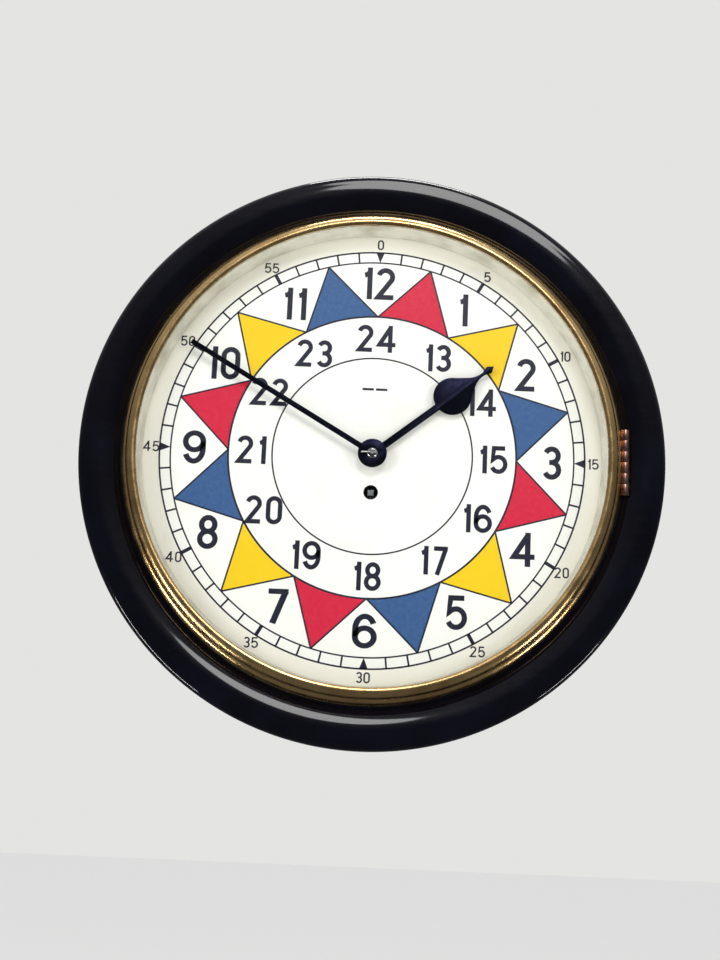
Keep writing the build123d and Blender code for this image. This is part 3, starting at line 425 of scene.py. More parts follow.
@dataclass(frozen=True)
class Ink:
    """Printed enamel ink on the dial: flat colour with the slight mottling of screen printing."""

    name: str
    colour: str
    thin: str
    mottle_mm: float = 3.0

    def build(self) -> bpy.types.Material:
        """Make the material: a mottled ink film, a little glossier than the ground."""
        surface = Surface(self.name, IOR=1.48, Coat_Weight=0.25, Coat_Roughness=0.15)
        surface.colour(surface.clouded(self.colour, self.thin, self.mottle_mm, 4, (0.35, 0.75)))
        surface.patchy_roughness(9, 3, 0.3, 0.45)
        surface.bump((surface.noise(0.9, 2), 0.004))
        return surface.material


@dataclass(frozen=True)
class SatinPaint:
    """Satin oil paint on the sight ring: warm grey, handled and slightly soiled."""

    name: str = "sight_ring_paint"
    clean: str = "#D8D6C6"
    soiled: str = "#B4B09C"

    def build(self) -> bpy.types.Material:
        """Make the material: soft soiling in patches and a brushed-on ripple."""
        surface = Surface(self.name, IOR=1.48)
        surface.colour(surface.clouded(self.clean, self.soiled, 22, 5, (0.42, 0.7), 0.6))
        surface.patchy_roughness(12, 3, 0.38, 0.55)
        surface.bump((surface.noise(1.6, 3), 0.01))
        return surface.material


@dataclass(frozen=True)
class ClearGlass:
    """Thin flat picture glass: nearly invisible, with a cool tint and a few handling smears."""

    name: str = "clear_flat_glass"
    tint: str = "#26302C"
    smeared: str = "#3C4642"
    opacity: float = 0.03

    def build(self) -> bpy.types.Material:
        """Make the material: low opacity with a smeared polish."""
        surface = Surface(self.name, IOR=1.52, Alpha=self.opacity)
        smears = surface.remap(surface.noise(30, 4), 0.4, 0.7, 0, 1)
        surface.colour(surface.mix(smears, linear(self.tint), linear(self.smeared)))
        surface.roughness(surface.remap(smears, 0, 1, 0.02, 0.09))
        surface.bump((surface.noise(45, 1), 0.01))
        return surface.material


@dataclass(frozen=True)
class WheelOnArbor:
    """Grained brass wheelwork on a polished steel arbor, told apart by place along or about the axis."""

    name: str
    steel_from_mm: float
    about_axis: bool
    steel: str = "#D0D1D4"
    edge_mm: float = 0.05

    def build(self) -> bpy.types.Material:
        """Make the material: brass with tarnish clouds, steel past the limit."""
        surface = Surface(self.name, Metallic=1.0)
        if self.about_axis:
            place, limit = surface.radius(), self.steel_from_mm
        else:
            place = add_node(surface.tree, "ShaderNodeSeparateXYZ", links={0: surface.place}).outputs["Y"]
            limit = -self.steel_from_mm
        steel = surface.remap(place, (limit + self.edge_mm) * MM, (limit - self.edge_mm) * MM, 0, 1)
        brass = surface.clouded(BRASS, BRASS_TARNISH, 16, 5, (0.42, 0.75))
        surface.colour(surface.mix(steel, brass, linear(self.steel)))
        surface.patchy_roughness(5, 4, 0.16, 0.34)
        surface.bump((surface.noise(0.35, 3, (24, 1, 1)), 0.008))
        return surface.material


class Finishes:
    """Every finish of the clock, built once and handed out by material slot."""

    def __init__(self) -> None:
        """Build the materials."""
        brass = {"bright": BRASS, "tarnish": BRASS_TARNISH}
        self.lacquer = Lacquer().build()
        self.bezel = Metal("spun_polished_brass", "#EBC68A", "#A2743E", (0.2, 0.34), 30, turned_mm=0.9,
                           tarnish_share=(0.48, 0.9)).build()
        self.hinge = Metal("tarnished_hinge_brass", "#A88074", "#6C4A3E", (0.22, 0.42), 6).build()
        self.sight = SatinPaint().build()
        self.glass = ClearGlass().build()
        self.dial = DialPaint().build()
        self.blued = Metal("blued_hand_steel", "#1A1A2E", "#101020", (0.3, 0.48), 12,
                           grain_mm=0.5).build()
        self.red = Ink("red_enamel_ink", "#CE1236", "#D42446").build()
        self.yellow = Ink("yellow_enamel_ink", "#F2CA04", "#F4CE14").build()
        self.blue = Ink("blue_enamel_ink", "#30568A", "#3E6292").build()
        self.black = Ink("black_enamel_ink", "#15152A", "#1E1E34", 1.5).build()
        self.box = StainedWood("stained_pine").build()
        self.pegs = StainedWood("waxed_beech", "#8A6038", "#5E3D20", 0.8, (16, 1, 1), 0.4).build()
        self.slots = {
            "black_wood": self.lacquer,
            "case_wood": self.box,
            "peg_wood": self.pegs,
            "bezel_brass": self.bezel,
            "hinge_brass": self.hinge,
            "sight_paint": self.sight,
            "clear_glass": self.glass,
            "dial_paint": self.dial,
            "blued_steel": self.blued,
            "polished_brass": Metal("polished_brass", rough=(0.1, 0.24), patch_mm=8, **brass).build(),
            "movement_brass": Metal("grained_movement_brass", rough=(0.2, 0.36), patch_mm=22,
                                    grain=(1, 1, 24), grain_mm=0.35, grain_depth_mm=0.01, **brass).build(),
            "front_plate": OiledPlate().build(),
            "fusee": WheelOnArbor("fusee_brass_and_steel", 108.0, False).build(),
            "centre_wheel": WheelOnArbor("centre_wheel_brass_and_steel", 1.7, True).build(),
            "bright_steel": Metal("polished_steel", "#C2C3C6", "#8E9094", (0.12, 0.3), 9).build(),
            "spring_steel": Metal("blued_spring_steel", "#3C4660", "#2A2F42", (0.2, 0.35), 9).build(),
        }


# ---------------------------------------------------------------------------
# Modelling bench
# ---------------------------------------------------------------------------
def deselect() -> None:
    """Deselect everything, so that an operator acts on the new piece alone."""
    bpy.ops.object.select_all(action="DESELECT")


def edit(action: Callable[[], object]) -> None:
    """Run operators on the active mesh in edit mode with all of it selected."""
    bpy.ops.object.mode_set(mode="EDIT")
    bpy.ops.mesh.select_all(action="SELECT")
    action()
    bpy.ops.object.mode_set(mode="OBJECT")


def activate(piece: bpy.types.Object) -> None:
    """Make a piece the only selected and the active object."""
    deselect()
    piece.select_set(True)
    bpy.context.view_layer.objects.active = piece


def apply_modifier(piece: bpy.types.Object, kind: str, **settings: object) -> None:
    """Add a modifier, set it and apply it.

    Args:
        piece: The mesh to change.
        kind: Blender's name for the modifier.
        settings: The modifier's properties.
    """
    activate(piece)
    modifier = piece.modifiers.new(kind.lower(), kind)
    for key, value in settings.items():
        setattr(modifier, key, value)
    bpy.ops.object.modifier_apply(modifier=modifier.name)


def arc(start: Point, via: Point, end: Point, steps: int = 8) -> list[Point]:
    """Points of the circular arc through three points, after its start and up to its end.

    Args:
        start: First point, left out of the result.
        via: A point on the arc.
        end: Last point.
        steps: Number of chords.

    Returns:
        The points.
    """
    (ax, ay), (bx, by), (cx, cy) = start, via, end
    double_area = 2 * (ax * (by - cy) + bx * (cy - ay) + cx * (ay - by))
    squares = (ax * ax + ay * ay, bx * bx + by * by, cx * cx + cy * cy)
    x = (squares[0] * (by - cy) + squares[1] * (cy - ay) + squares[2] * (ay - by)) / double_area
    y = (squares[0] * (cx - bx) + squares[1] * (ax - cx) + squares[2] * (bx - ax)) / double_area
    radius = math.dist((x, y), start)
    first, middle, last = (math.atan2(py - y, px - x) for px, py in (start, via, end))
    sweep = (last - first) % FULL_TURN
    if (middle - first) % FULL_TURN > sweep:
        sweep -= FULL_TURN
    angles = [first + sweep * step / steps for step in range(1, steps + 1)]
    return [(x + radius * math.cos(angle), y + radius * math.sin(angle)) for angle in angles]


def shade(piece: bpy.types.Object, crisp_deg: float = 32.0) -> None:
    """Shade a piece smooth, except at edges sharper than an angle."""
    activate(piece)
    bpy.ops.object.shade_smooth_by_angle(angle=math.radians(crisp_deg))


def polar(radius: float, degrees: float) -> Point:
    """A place on the dial by its radius and its clockwise angle from twelve."""
    angle = math.radians(degrees)
    return radius * math.sin(angle), radius * math.cos(angle)


def lathe(name: str, profile: Sequence[Point], steps: int) -> bpy.types.Object:
    """Turn a closed profile about the hands' axis.

    Args:
        name: The piece's name.
        profile: Radius and height of each corner in millimetres.
        steps: Steps of the spin.

    Returns:
        The turned piece.
    """
    deselect()
    places = [Vector((r, -h, 0)) * MM for r, h in profile]
    bpy.ops.mesh.primitive_plane_add(size=0.01, location=places[0])
    piece = bpy.context.object
    piece.name = piece.data.name = name
    bpy.ops.object.transform_apply(location=True)

    def shape() -> None:
        bpy.ops.mesh.merge(type="CENTER")
        for before, after in zip(places, places[1:]):
            bpy.ops.mesh.extrude_vertices_move(TRANSFORM_OT_translate={"value": after - before})
        bpy.ops.mesh.select_all(action="SELECT")
        bpy.ops.mesh.spin(steps=steps, angle=FULL_TURN, use_auto_merge=True, center=(0, 0, 0), axis=(0, 1, 0))
        bpy.ops.mesh.select_all(action="SELECT")
        bpy.ops.mesh.remove_doubles(threshold=1e-6)
        bpy.ops.mesh.normals_make_consistent(inside=False)

    places.append(places[0])
    edit(shape)
    shade(piece)
    return piece


def cut(piece: bpy.types.Object, tool: bpy.types.Object) -> None:
    """Cut one closed mesh out of another and remove the tool."""
    apply_modifier(piece, "BOOLEAN", operation="DIFFERENCE", object=tool, solver="EXACT")
    bpy.data.objects.remove(tool)


def block(x: Sequence[float], z: Sequence[float], h: Sequence[float]) -> bpy.types.Object:
    """A closed box between two x, z and height values in millimetres."""
    deselect()
    size = Vector((x[1] - x[0], h[1] - h[0], z[1] - z[0])) * MM
    middle = Vector(((x[0] + x[1]) / 2, -(h[0] + h[1]) / 2, (z[0] + z[1]) / 2)) * MM
    bpy.ops.mesh.primitive_cube_add(size=1, location=middle, scale=size)
    bpy.ops.object.transform_apply(location=True, rotation=True, scale=True)
    return bpy.context.object


def rod(start: Sequence[float], end: Sequence[float], radius: float, sides: int = 32) -> bpy.types.Object:
    """A closed round bar between two places in millimetres."""
    deselect()
    first, last = Vector(start) * MM, Vector(end) * MM
    way = last - first
    bpy.ops.mesh.primitive_cylinder_add(vertices=sides, radius=radius * MM, depth=way.length,
                                        location=(first + last) / 2,
                                        rotation=way.to_track_quat("Z", "Y").to_euler())
    bpy.ops.object.transform_apply(location=True, rotation=True, scale=True)
    return bpy.context.object


def join(name: str, pieces: Sequence[bpy.types.Object]) -> bpy.types.Object:
    """Join meshes into one named piece."""
    activate(pieces[0])
    for piece in pieces:
        piece.select_set(True)
    if len(pieces) > 1:
        bpy.ops.object.join()
    joined = bpy.context.object
    joined.name = joined.data.name = name
    return joined


def turned_copy(piece: bpy.types.Object, degrees: float) -> bpy.types.Object:
    """A copy with its own mesh, turned clockwise about the hands' axis."""
    copy = piece.copy()
    copy.data = piece.data.copy()
    bpy.context.collection.objects.link(copy)
    copy.data.transform(Matrix.Rotation(math.radians(degrees), 4, "Y"))
    return copy


def dress(piece: bpy.types.Object, material: bpy.types.Material, body: str) -> None:
    """Give a finished piece its material and its body."""
    piece.data.materials.clear()
    piece.data.materials.append(material)
    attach(piece, body)
    log.info("made %s on %s", piece.name, body)


# ---------------------------------------------------------------------------
# Numerals
# ---------------------------------------------------------------------------
def bow(centre: Point, rx: float, ry: float, start: float, end: float, steps: int = 14) -> list[Point]:
    """Points along part of an ellipse, from one angle in degrees to another."""
    angles = [math.radians(start + (end - start) * step / steps) for step in range(steps + 1)]
    return [(centre[0] + rx * math.cos(a), centre[1] + ry * math.sin(a)) for a in angles]


def digit_strokes(weight: float) -> dict[str, list[list[Point]]]:
    """Centre lines of upright, evenly weighted numerals, one unit high.

    Args:
        weight: Stroke width, by half of which a straight stroke runs on at its open end.

    Returns:
        For each digit its strokes, each a list of points.
    """
    w, wide, end = 0.49, 0.575, weight / 2
    r, belly = w / 2, wide / 2
    return {
        "0": [bow((r, 1 - r), r, r, 0, 180) + bow((r, r), r, r, 180, 360) + [(w, 1 - r)]],
        "1": [[(0.0, 0.805), (0.09, 0.825), (0.186, 0.92)], [(0.186, 1 + end), (0.186, -end)]],
        "2": [bow((r, 1 - r), r, r, 165, -28) + [(0.0, 0.0), (w + end * 0.6, 0.0)]],
        "3": [bow((r, 0.76), r * 0.92, 0.24, 155, -90) + [(r * 0.65, 0.52)],
              [(r * 0.65, 0.52)] + bow((r, 0.26), r, 0.26, 90, -155)],
        "4": [[(0.45, 1.0), (0.0, 0.25), (0.68, 0.25)], [(0.45, 1 + end), (0.45, -end)]],
        "5": [[(wide - 0.02, 1.0), (0.09, 1.0), (0.045, 0.5)] + bow((belly, 0.315), belly, 0.315, 125, -155)],
        "6": [bow((belly, 0.58), belly, 0.42, 25, 180, 12) + bow((belly, 0.3), belly, 0.3, 180, 540, 24)],
        "7": [[(0.0, 1.0), (w + end * 0.9, 1.0)], [(w, 1.0), (0.15, -end)]],
        "8": [bow((r, 0.76), r * 0.9, 0.24, -90, 270, 24), bow((r, 0.26), r * 1.04, 0.26, 90, 450, 24)],
        "9": [bow((belly, 0.42), belly, 0.42, 205, 360, 12) + bow((belly, 0.7), belly, 0.3, 0, 360, 24)],
    }


class Numerals:
    """Cuts numerals as thin films of ink from their centre lines."""

    # crossing strokes lie one on the other by this much, as wet ink does
    layer_mm = 0.006

    def __init__(self, weight: float) -> None:
        """Prepare the digits.

        Args:
            weight: Stroke width as a share of the numeral's height.
        """
        self.weight = weight
        self.strokes = digit_strokes(weight)

    def outline(self, stroke: Sequence[Point]) -> tuple[list[Point], list[Point]]:
        """Both edges of a stroke, with mitred corners.

        Args:
            stroke: The centre line.

        Returns:
            The left and the right edge.
        """
        half = self.weight / 2
        left, right = [], []
        for index, (x, y) in enumerate(stroke):
            before = Vector(stroke[max(index - 1, 0)])
            after = Vector(stroke[min(index + 1, len(stroke) - 1)])
            here = Vector((x, y))
            first = (here - before).normalized() if index else (after - here).normalized()
            second = (after - here).normalized() if index < len(stroke) - 1 else first
            normal = Vector((-(first + second).y, (first + second).x))
            normal = normal.normalized() if normal.length > 1e-6 else Vector((-first.y, first.x))
            reach = half / max(0.45, normal.dot(Vector((-first.y, first.x))))
            left.append((x + normal.x * reach, y + normal.y * reach))
            right.append((x - normal.x * reach, y - normal.y * reach))
        return left, right

    def width(self, text: str, gap: float) -> float:
        """Width of a number from its outermost centre lines, in units of its height."""
        spans = [self.span(letter) for letter in text]
        return sum(high - low for low, high in spans) + gap * (len(text) - 1)

    def span(self, letter: str) -> tuple[float, float]:
        """Lowest and highest x of a digit's centre lines."""
        xs = [x for stroke in self.strokes[letter] for x, _ in stroke]
        return min(xs), max(xs)

    def number(self, text: str, centre: Point, height: float, face: float, film: float,
               gap: float = 0.31, widen: float = 1.0) -> bpy.types.Object:
        """One number, centred at a place on the dial.

        Args:
            text: The digits.
            centre: x and z in millimetres.
            height: Height of the outline in millimetres.
            face: Height of the dial's face in millimetres.
            film: Thickness of the ink in millimetres.
            gap: Space between the centre lines of two digits, in units of height.
            widen: How much wider than usual the number is set.

        Returns:
            The mesh.
        """
        inner = height / (1 + self.weight)
        start = -self.width(text, gap) / 2
        vertices: list[tuple[float, float, float]] = []
        faces: list[tuple[int, ...]] = []
        for letter in text:
            low, high = self.span(letter)
            for layer, stroke in enumerate(self.strokes[letter]):
                left, right = self.outline(stroke)
                base = len(vertices)
                top = face + film + self.layer_mm * layer
                for x, y in left + right:
                    vertices.append(((centre[0] + (x - low + start) * inner * widen) * MM, -top * MM,
                                     (centre[1] + (y - 0.5) * inner) * MM))
                count = len(stroke)
                for index in range(count - 1):
                    near, far = base + index, base + count + index
                    faces.append((near, far, far + 1, near + 1))
            start += high - low + gap
        mesh = bpy.data.meshes.new("number")
        mesh.from_pydata(vertices, [], faces)
        piece = bpy.data.objects.new("number", mesh)
        bpy.context.collection.objects.link(piece)
        return piece


# ---------------------------------------------------------------------------
# The dial's markings
# ---------------------------------------------------------------------------
class Sector(Enum):
    """The three colours of the triangles, in their order clockwise from twelve."""

    RED = 0
    YELLOW = 1
    BLUE = 2


@dataclass
class DialMarkings:
    """All that is printed on the dial."""

    measures: Measures
    finishes: Finishes
    inner_circle: float = 75.3
    sun_circle: float = 108.3
    track_inner: float = 151.7
    track_outer: float = 159.9
    line: float = 1.15
    tick: float = 1.35
    five_bar: float = 2.7
    arrow_base: float = 6.4
    film: float = 0.05
    steps: int = 240
    # the mark below the twelve: how far out each dash runs, and its heights above the axis
    dash: Point = (0.8, 9.4)
    dash_heights: Point = (50.1, 51.9)
    # radius of a ring of numbers, with their stroke weight and height
    hour_ring: tuple[float, float, float] = (133.8, 0.182, 25.6)
    late_ring: tuple[float, float, float] = (91.5, 0.188, 21.4)
    minute_ring: tuple[float, float, float] = (166.2, 0.16, 8.0)
    minute_gap: float = 0.28
    minute_widen: float = 1.06
    # the sign painter's small shifts of single numbers, in millimetres, and the numbers set wider
    shifts: dict[int, Point] = field(default_factory=lambda: {
        1: (-2.1, 0.6), 2: (-0.9, 0.3), 3: (1.5, -0.3), 6: (-0.2, 1.6), 7: (2.1, -0.6), 8: (-3.9, 3.4),
        9: (-0.2, 0.6), 11: (2.4, 0.2), 12: (-0.1, 1.2), 13: (1.0, -1.6), 14: (2.3, -1.6),
        15: (-0.7, 0.3), 16: (0.8, 0.8), 17: (3.7, 1.4), 18: (-0.5, -0.2), 19: (-0.7, 1.5),
        20: (0.1, 0.7), 21: (0.6, 0.4), 23: (-1.4, -1.9), 24: (0.4, -0.5)})
    wider: dict[int, float] = field(default_factory=lambda: {6: 1.12, 7: 1.2, 8: 1.03, 9: 1.07, 4: 1.05})

    def ring(self, name: str, radius: float, width: float, lift: float) -> bpy.types.Object:
        """A printed circle."""
        face = self.measures.dial_face
        low, high = radius - width / 2, radius + width / 2
        return lathe(name, [(low, face), (high, face), (high, face + lift), (low, face + lift)], self.steps)

    def bar(self, width: float, low: float, high: float, lift: float) -> bpy.types.Object:
        """A printed radial bar at twelve o'clock."""
        face = self.measures.dial_face
        return block((-width / 2, width / 2), (low, high), (face, face + lift))

    def wedge(self, points: Sequence[Point], lift: float) -> bpy.types.Object:
        """A flat printed shape from its outline, filled and raised by the ink's thickness."""
        face = self.measures.dial_face
        deselect()
        bpy.ops.mesh.primitive_circle_add(vertices=len(points), radius=0.01, fill_type="NGON")
        piece = bpy.context.object
        for vertex, (x, z) in zip(piece.data.vertices, points):
            vertex.co = Vector((x, -face, z)) * MM

        def raise_film() -> None:
            bpy.ops.mesh.extrude_region_move(TRANSFORM_OT_translate={"value": (0, -lift * MM, 0)})
            bpy.ops.mesh.select_all(action="SELECT")
            bpy.ops.mesh.normals_make_consistent(inside=False)

        edit(raise_film)
        return piece

    def triangle(self) -> bpy.types.Object:
        """The coloured triangle between twelve and one: an arc for its base and a point on the track."""
        steps = 12
        base = [polar(self.sun_circle, HOUR_DEG * step / steps) for step in range(steps + 1)]
        return self.wedge([polar(self.track_inner, HOUR_DEG / 2)] + base[::-1], self.film)

    def triangle_outline(self) -> bpy.types.Object:
        """The two dark edges of a triangle."""
        apex = Vector(polar(self.track_inner, HOUR_DEG / 2))
        edges = []
        for angle in (0, HOUR_DEG):
            foot = Vector(polar(self.sun_circle, angle))
            way = (apex - foot).normalized()
            side = Vector((-way.y, way.x)) * self.line * 0.55
            corners = [foot - side, foot + side, apex + side, apex - side]
            edges.append(self.wedge([tuple(c) for c in corners], self.film * 1.6))
        return join("triangle_edges", edges)

    def build(self) -> None:
        """Print everything and let it ride with the dial."""
        colours = {Sector.RED: self.finishes.red, Sector.YELLOW: self.finishes.yellow,
                   Sector.BLUE: self.finishes.blue}
        first = self.triangle()
        edge = self.triangle_outline()
        triangles = [turned_copy(first, HOUR_DEG * hour) for hour in range(12)]
        edges = [turned_copy(edge, HOUR_DEG * hour) for hour in range(12)]
        bpy.data.objects.remove(first)
        bpy.data.objects.remove(edge)
        for sector in Sector:
            piece = join(f"dial_triangles_{sector.name.lower()}", triangles[sector.value::len(Sector)])
            dress(piece, colours[sector], "root")
        self.print_black("dial_triangle_edges", edges)
        rings = [self.ring("ring", radius, width, self.film * 2) for radius, width in
                 ((self.inner_circle, self.line), (self.sun_circle, self.line * 1.25),
                  (self.track_inner, self.line), (self.track_outer, self.line * 1.1))]
        self.print_black("dial_circles", rings)
        self.print_black("dial_minute_marks", self.minute_marks())
        self.print_black("dial_mark", self.dashes())
        self.print_numbers()

    def print_black(self, name: str, pieces: Sequence[bpy.types.Object]) -> None:
        """Join pieces and print them in black."""
        dress(join(name, pieces), self.finishes.black, "root")

    def minute_marks(self) -> list[bpy.types.Object]:
        """Minute lines, thick five-minute bars and the four arrowheads."""
        lift = self.film * 2
        thin = self.bar(self.tick, self.track_inner, self.track_outer, lift)
        thick = self.bar(self.five_bar, self.track_inner, self.track_outer, lift)
        half = self.arrow_base / 2
        arrow = self.wedge([(0, self.track_inner), (half, self.track_outer), (-half, self.track_outer)], lift)
        marks = []
        for minute in range(60):
            source = arrow if minute % 15 == 0 else thick if minute % 5 == 0 else thin
            marks.append(turned_copy(source, MINUTE_DEG * minute))
        for source in (thin, thick, arrow):
            bpy.data.objects.remove(source)
        return marks

    def dashes(self) -> list[bpy.types.Object]:
        """Two plain dashes below the twelve, in place of a mark."""
        face = self.measures.dial_face
        near, far = self.dash
        return [block(span, self.dash_heights, (face, face + self.film))
                for span in ((-far, -near), (near, far))]

    def print_numbers(self) -> None:
        """Hour numbers in two rings and minute numbers outside the track."""
        face, lift = self.measures.dial_face, self.film * 2
        hours, late, minutes = [], [], []
        for ring, (radius, weight, height) in ((hours, self.hour_ring), (late, self.late_ring)):
            for hour in range(1, 13):
                number = hour if ring is hours else hour + 12
                x, z = polar(radius, HOUR_DEG * hour)
                right, up = self.shifts.get(number, (0, 0))
                ring.append(Numerals(weight).number(str(number), (x + right, z + up), height, face, lift,
                                                    widen=self.wider.get(number, 1.0)))
        radius, weight, height = self.minute_ring
        for step in range(12):
            minutes.append(Numerals(weight).number(str(5 * step), polar(radius, HOUR_DEG * step), height,
                                                   face, lift, self.minute_gap, self.minute_widen))
        for name, group in (("dial_hours", hours), ("dial_late_hours", late), ("dial_minutes", minutes)):
            piece = join(name, group)
            apply_modifier(piece, "SOLIDIFY", thickness=self.film * MM, offset=-1)
            dress(piece, self.finishes.black, "root")


# ---------------------------------------------------------------------------
# Turned case parts
# ---------------------------------------------------------------------------
@dataclass
class TurnedCase:
    """The turned wooden surround, the brass bezel and the painted sight ring."""

    measures: Measures
    finishes: Finishes
    clearance: float = 0.3
    steps: int = 256
    # the wood: its face above the dial, its skin at the back, the ledge under the dial
    wood_rise: float = 6.6
    back_skin: float = 6.0
    ledge_width: float = 9.8
    corner_wood: float = 2.0
    # the pocket for the catch: room left and right of it, half its length, its depth
    catch_room: tuple[float, float] = (2.4, 2.1)
    catch_half: float = 7.0
    catch_depth: float = 8.0
    # the seat of the hinge's leaf in the bezel: width, room at its ends, heights above the dial
    leaf_width: float = 7.1
    leaf_room: float = 0.1
    leaf_heights: tuple[float, float] = (5.9, 8.4)
    # how far a cutting tool runs past the face it goes through
    through: float = 2.0

    def hinge_cutter(self) -> bpy.types.Object:
        """A bar the size of the hinge's trough."""
        m = self.measures
        reach = m.hinge_half + self.clearance
        return rod((m.hinge_x, -m.hinge_height, -reach), (m.hinge_x, -m.hinge_height, reach),
                   m.knuckle_radius + self.clearance, 48)

    def surround(self) -> None:
        """Turn the wood with its domed face and rounded edge, then cut the box's opening."""
        m = self.measures
        outer, back, face = m.surround_radius, m.surround_back, m.dial_face + self.wood_rise
        dial_back = -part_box("dial_plate")[1].y / MM
        rebate = m.dial_radius + self.clearance
        ledge, skin = m.dial_radius - self.ledge_width, back + self.back_skin
        crest, shoulder, rim = (outer - 15.5, face + 6), (outer - 6.2, face + 5.3), (outer, face - 0.8)
        profile = [(0, back), (outer - 10, back), (outer - 3.5, back + 5), (outer - 2.5, m.dial_face - 6),
                   (outer, m.dial_face - 2), rim]
        profile += arc(rim, (outer - 1.8, face + 3.5), shoulder, 14)
        profile += arc(shoulder, (crest[0] + 5, face + 5.9), crest, 6)
        profile += arc(crest, (m.hinge_x + 7.5, face + 4.2), (m.hinge_x, face), 12)
        profile += [(rebate + 0.5, face), (rebate, face - 0.5), (rebate, dial_back), (ledge, dial_back),
                    (ledge, skin), (0, skin)]
        wood = lathe("surround_wood", profile, self.steps)
        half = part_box("box_right_side")[0].x / MM
        opening = math.sqrt(ledge ** 2 - half ** 2) - self.corner_wood
        cut(wood, block((-half, half), (-opening, opening), (back - self.through, skin + self.through)))
        cut(wood, self.hinge_cutter())
        catch_low, catch_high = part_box("bezel_catch")
        pocket = (catch_low.x / MM - self.catch_room[0], catch_high.x / MM + self.catch_room[1])
        cut(wood, block(pocket, (-self.catch_half, self.catch_half),
                        (face - self.catch_depth, face + self.through)))
        self.finish(wood)
        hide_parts("surround")
        dress(wood, self.finishes.lacquer, "root")

    def bezel(self) -> None:
        """Turn the brass bezel: a bead at the lip, a groove and an ogee flank."""
        m = self.measures
        r, h = m.dial_radius, m.dial_face
        step, groove = (r + 5.7, h + 14), (r + 4.9, h + 14)
        crest, lip = (r + 0.7, h + 22.8), (r - 3.1, h + 22)
        profile = [(r - 0.6, h + 6.9), (r + 9.6, h + 6.9), (r + 9.6, h + 7.9)]
        profile += arc(profile[-1], (r + 8.4, h + 11.5), step, 12)
        profile += [groove]
        profile += arc(groove, (r + 3.7, h + 20.6), crest, 14)
        profile += arc(crest, (r - 1.6, h + 22.9), lip, 8)
        profile += [(r - 3.1, h + 21.1), (r - 0.6, h + 21.1)]
        brass = lathe("bezel_brass", profile, self.steps)
        cut(brass, self.hinge_cutter())
        reach = m.hinge_half + self.leaf_room
        low, high = self.leaf_heights
        cut(brass, block((m.hinge_x - self.leaf_width, m.hinge_x), (-reach, reach), (h + low, h + high)))
        self.finish(brass)
        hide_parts("bezel")
        dress(brass, self.finishes.bezel, "bezel")

    def sight_ring(self) -> None:
        """Turn the painted slope between the dial and the glass."""
        m = self.measures
        r, h = m.dial_radius, m.dial_face
        profile = [(r - 5.2, h + 0.8), (r - 4.1, h + 0.8), (r - 2.0, h + 17.6), (r - 0.9, h + 17.6),
                   (r - 0.9, h + 19), (r - 3.1, h + 19)]
        ring = lathe("sight_ring_paint", profile, self.steps)
        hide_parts("sight_ring")
        dress(ring, self.finishes.sight, "bezel")

    def finish(self, piece: bpy.types.Object) -> None:
        """Close up after a cut and shade by angle."""
        activate(piece)
        edit(lambda: bpy.ops.mesh.remove_doubles(threshold=1e-7))
        shade(piece)

    def build(self) -> None:
        """Turn all three."""
        self.surround()
        self.bezel()
        self.sight_ring()


# ---------------------------------------------------------------------------
# Finished copies of the remaining CAD pieces
# ---------------------------------------------------------------------------
@dataclass
class DressedNodes:
    """Gives every other CAD node its material, and the ones seen close a softened edge."""

    finishes: Finishes
    bevel_deg: float = 40.0
    crisp_deg: float = 35.0
    # how far the edges of each node seen close are rounded, in millimetres
    softened: dict[str, float] = field(default_factory=lambda: {
        "minute_hand": 0.18, "hour_hand": 0.18, "hand_collet": 0.12, "hand_pin": 0.1,
        "bezel_hinge_leaf": 0.25, "surround_hinge_leaf": 0.25, "bezel_hinge_pin": 0.2,
        "side_door_knob": 0.2, "bottom_door_knob": 0.2, "hanging_plate": 0.3, "case_pegs": 0.6,
        "side_door": 0.5, "bottom_door": 0.5, "box_back": 0.6, "surround_cheeks": 0.8,
    })

    def soften(self, node: str, width_mm: float, body: str, slot: str) -> None:
        """Stand a copy with rounded edges and smooth shading in for a CAD node.

        Args:
            node: The CAD node.
            width_mm: How far the edges are rounded.
            body: The body it rides on.
            slot: Its material slot.
        """
        source = frame["nodes"][node]
        piece = bpy.data.objects.new(f"{node}_finished", source.data.copy())
        bpy.context.collection.objects.link(piece)
        activate(piece)

        def clean() -> None:
            bpy.ops.mesh.remove_doubles(threshold=2e-6)
            bpy.ops.mesh.dissolve_limited(angle_limit=math.radians(1.5))

        edit(clean)
        apply_modifier(piece, "BEVEL", width=width_mm * MM, segments=2, limit_method="ANGLE",
                       angle_limit=math.radians(self.bevel_deg), use_clamp_overlap=True)
        shade(piece, self.crisp_deg)
        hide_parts(node)
        dress(piece, self.finishes.slots[slot], body)

    def build(self) -> None:
        """Dress every node that no turned piece stands for."""
        record = frame["record"]
        slots = {row["node"]: row["material_slot"] for row in record["subparts"]}
        bodies = {node: body for body, nodes in record["behaviour"]["bodies"].items() for node in nodes}
        for node, piece in frame["nodes"].items():
            if piece.hide_render:
                continue
            slot = slots[node]
            if node in self.softened:
                self.soften(node, self.softened[node], bodies[node], slot)
                continue
            piece.data.materials.clear()
            piece.data.materials.append(self.finishes.slots.get(node, self.finishes.slots[slot]))


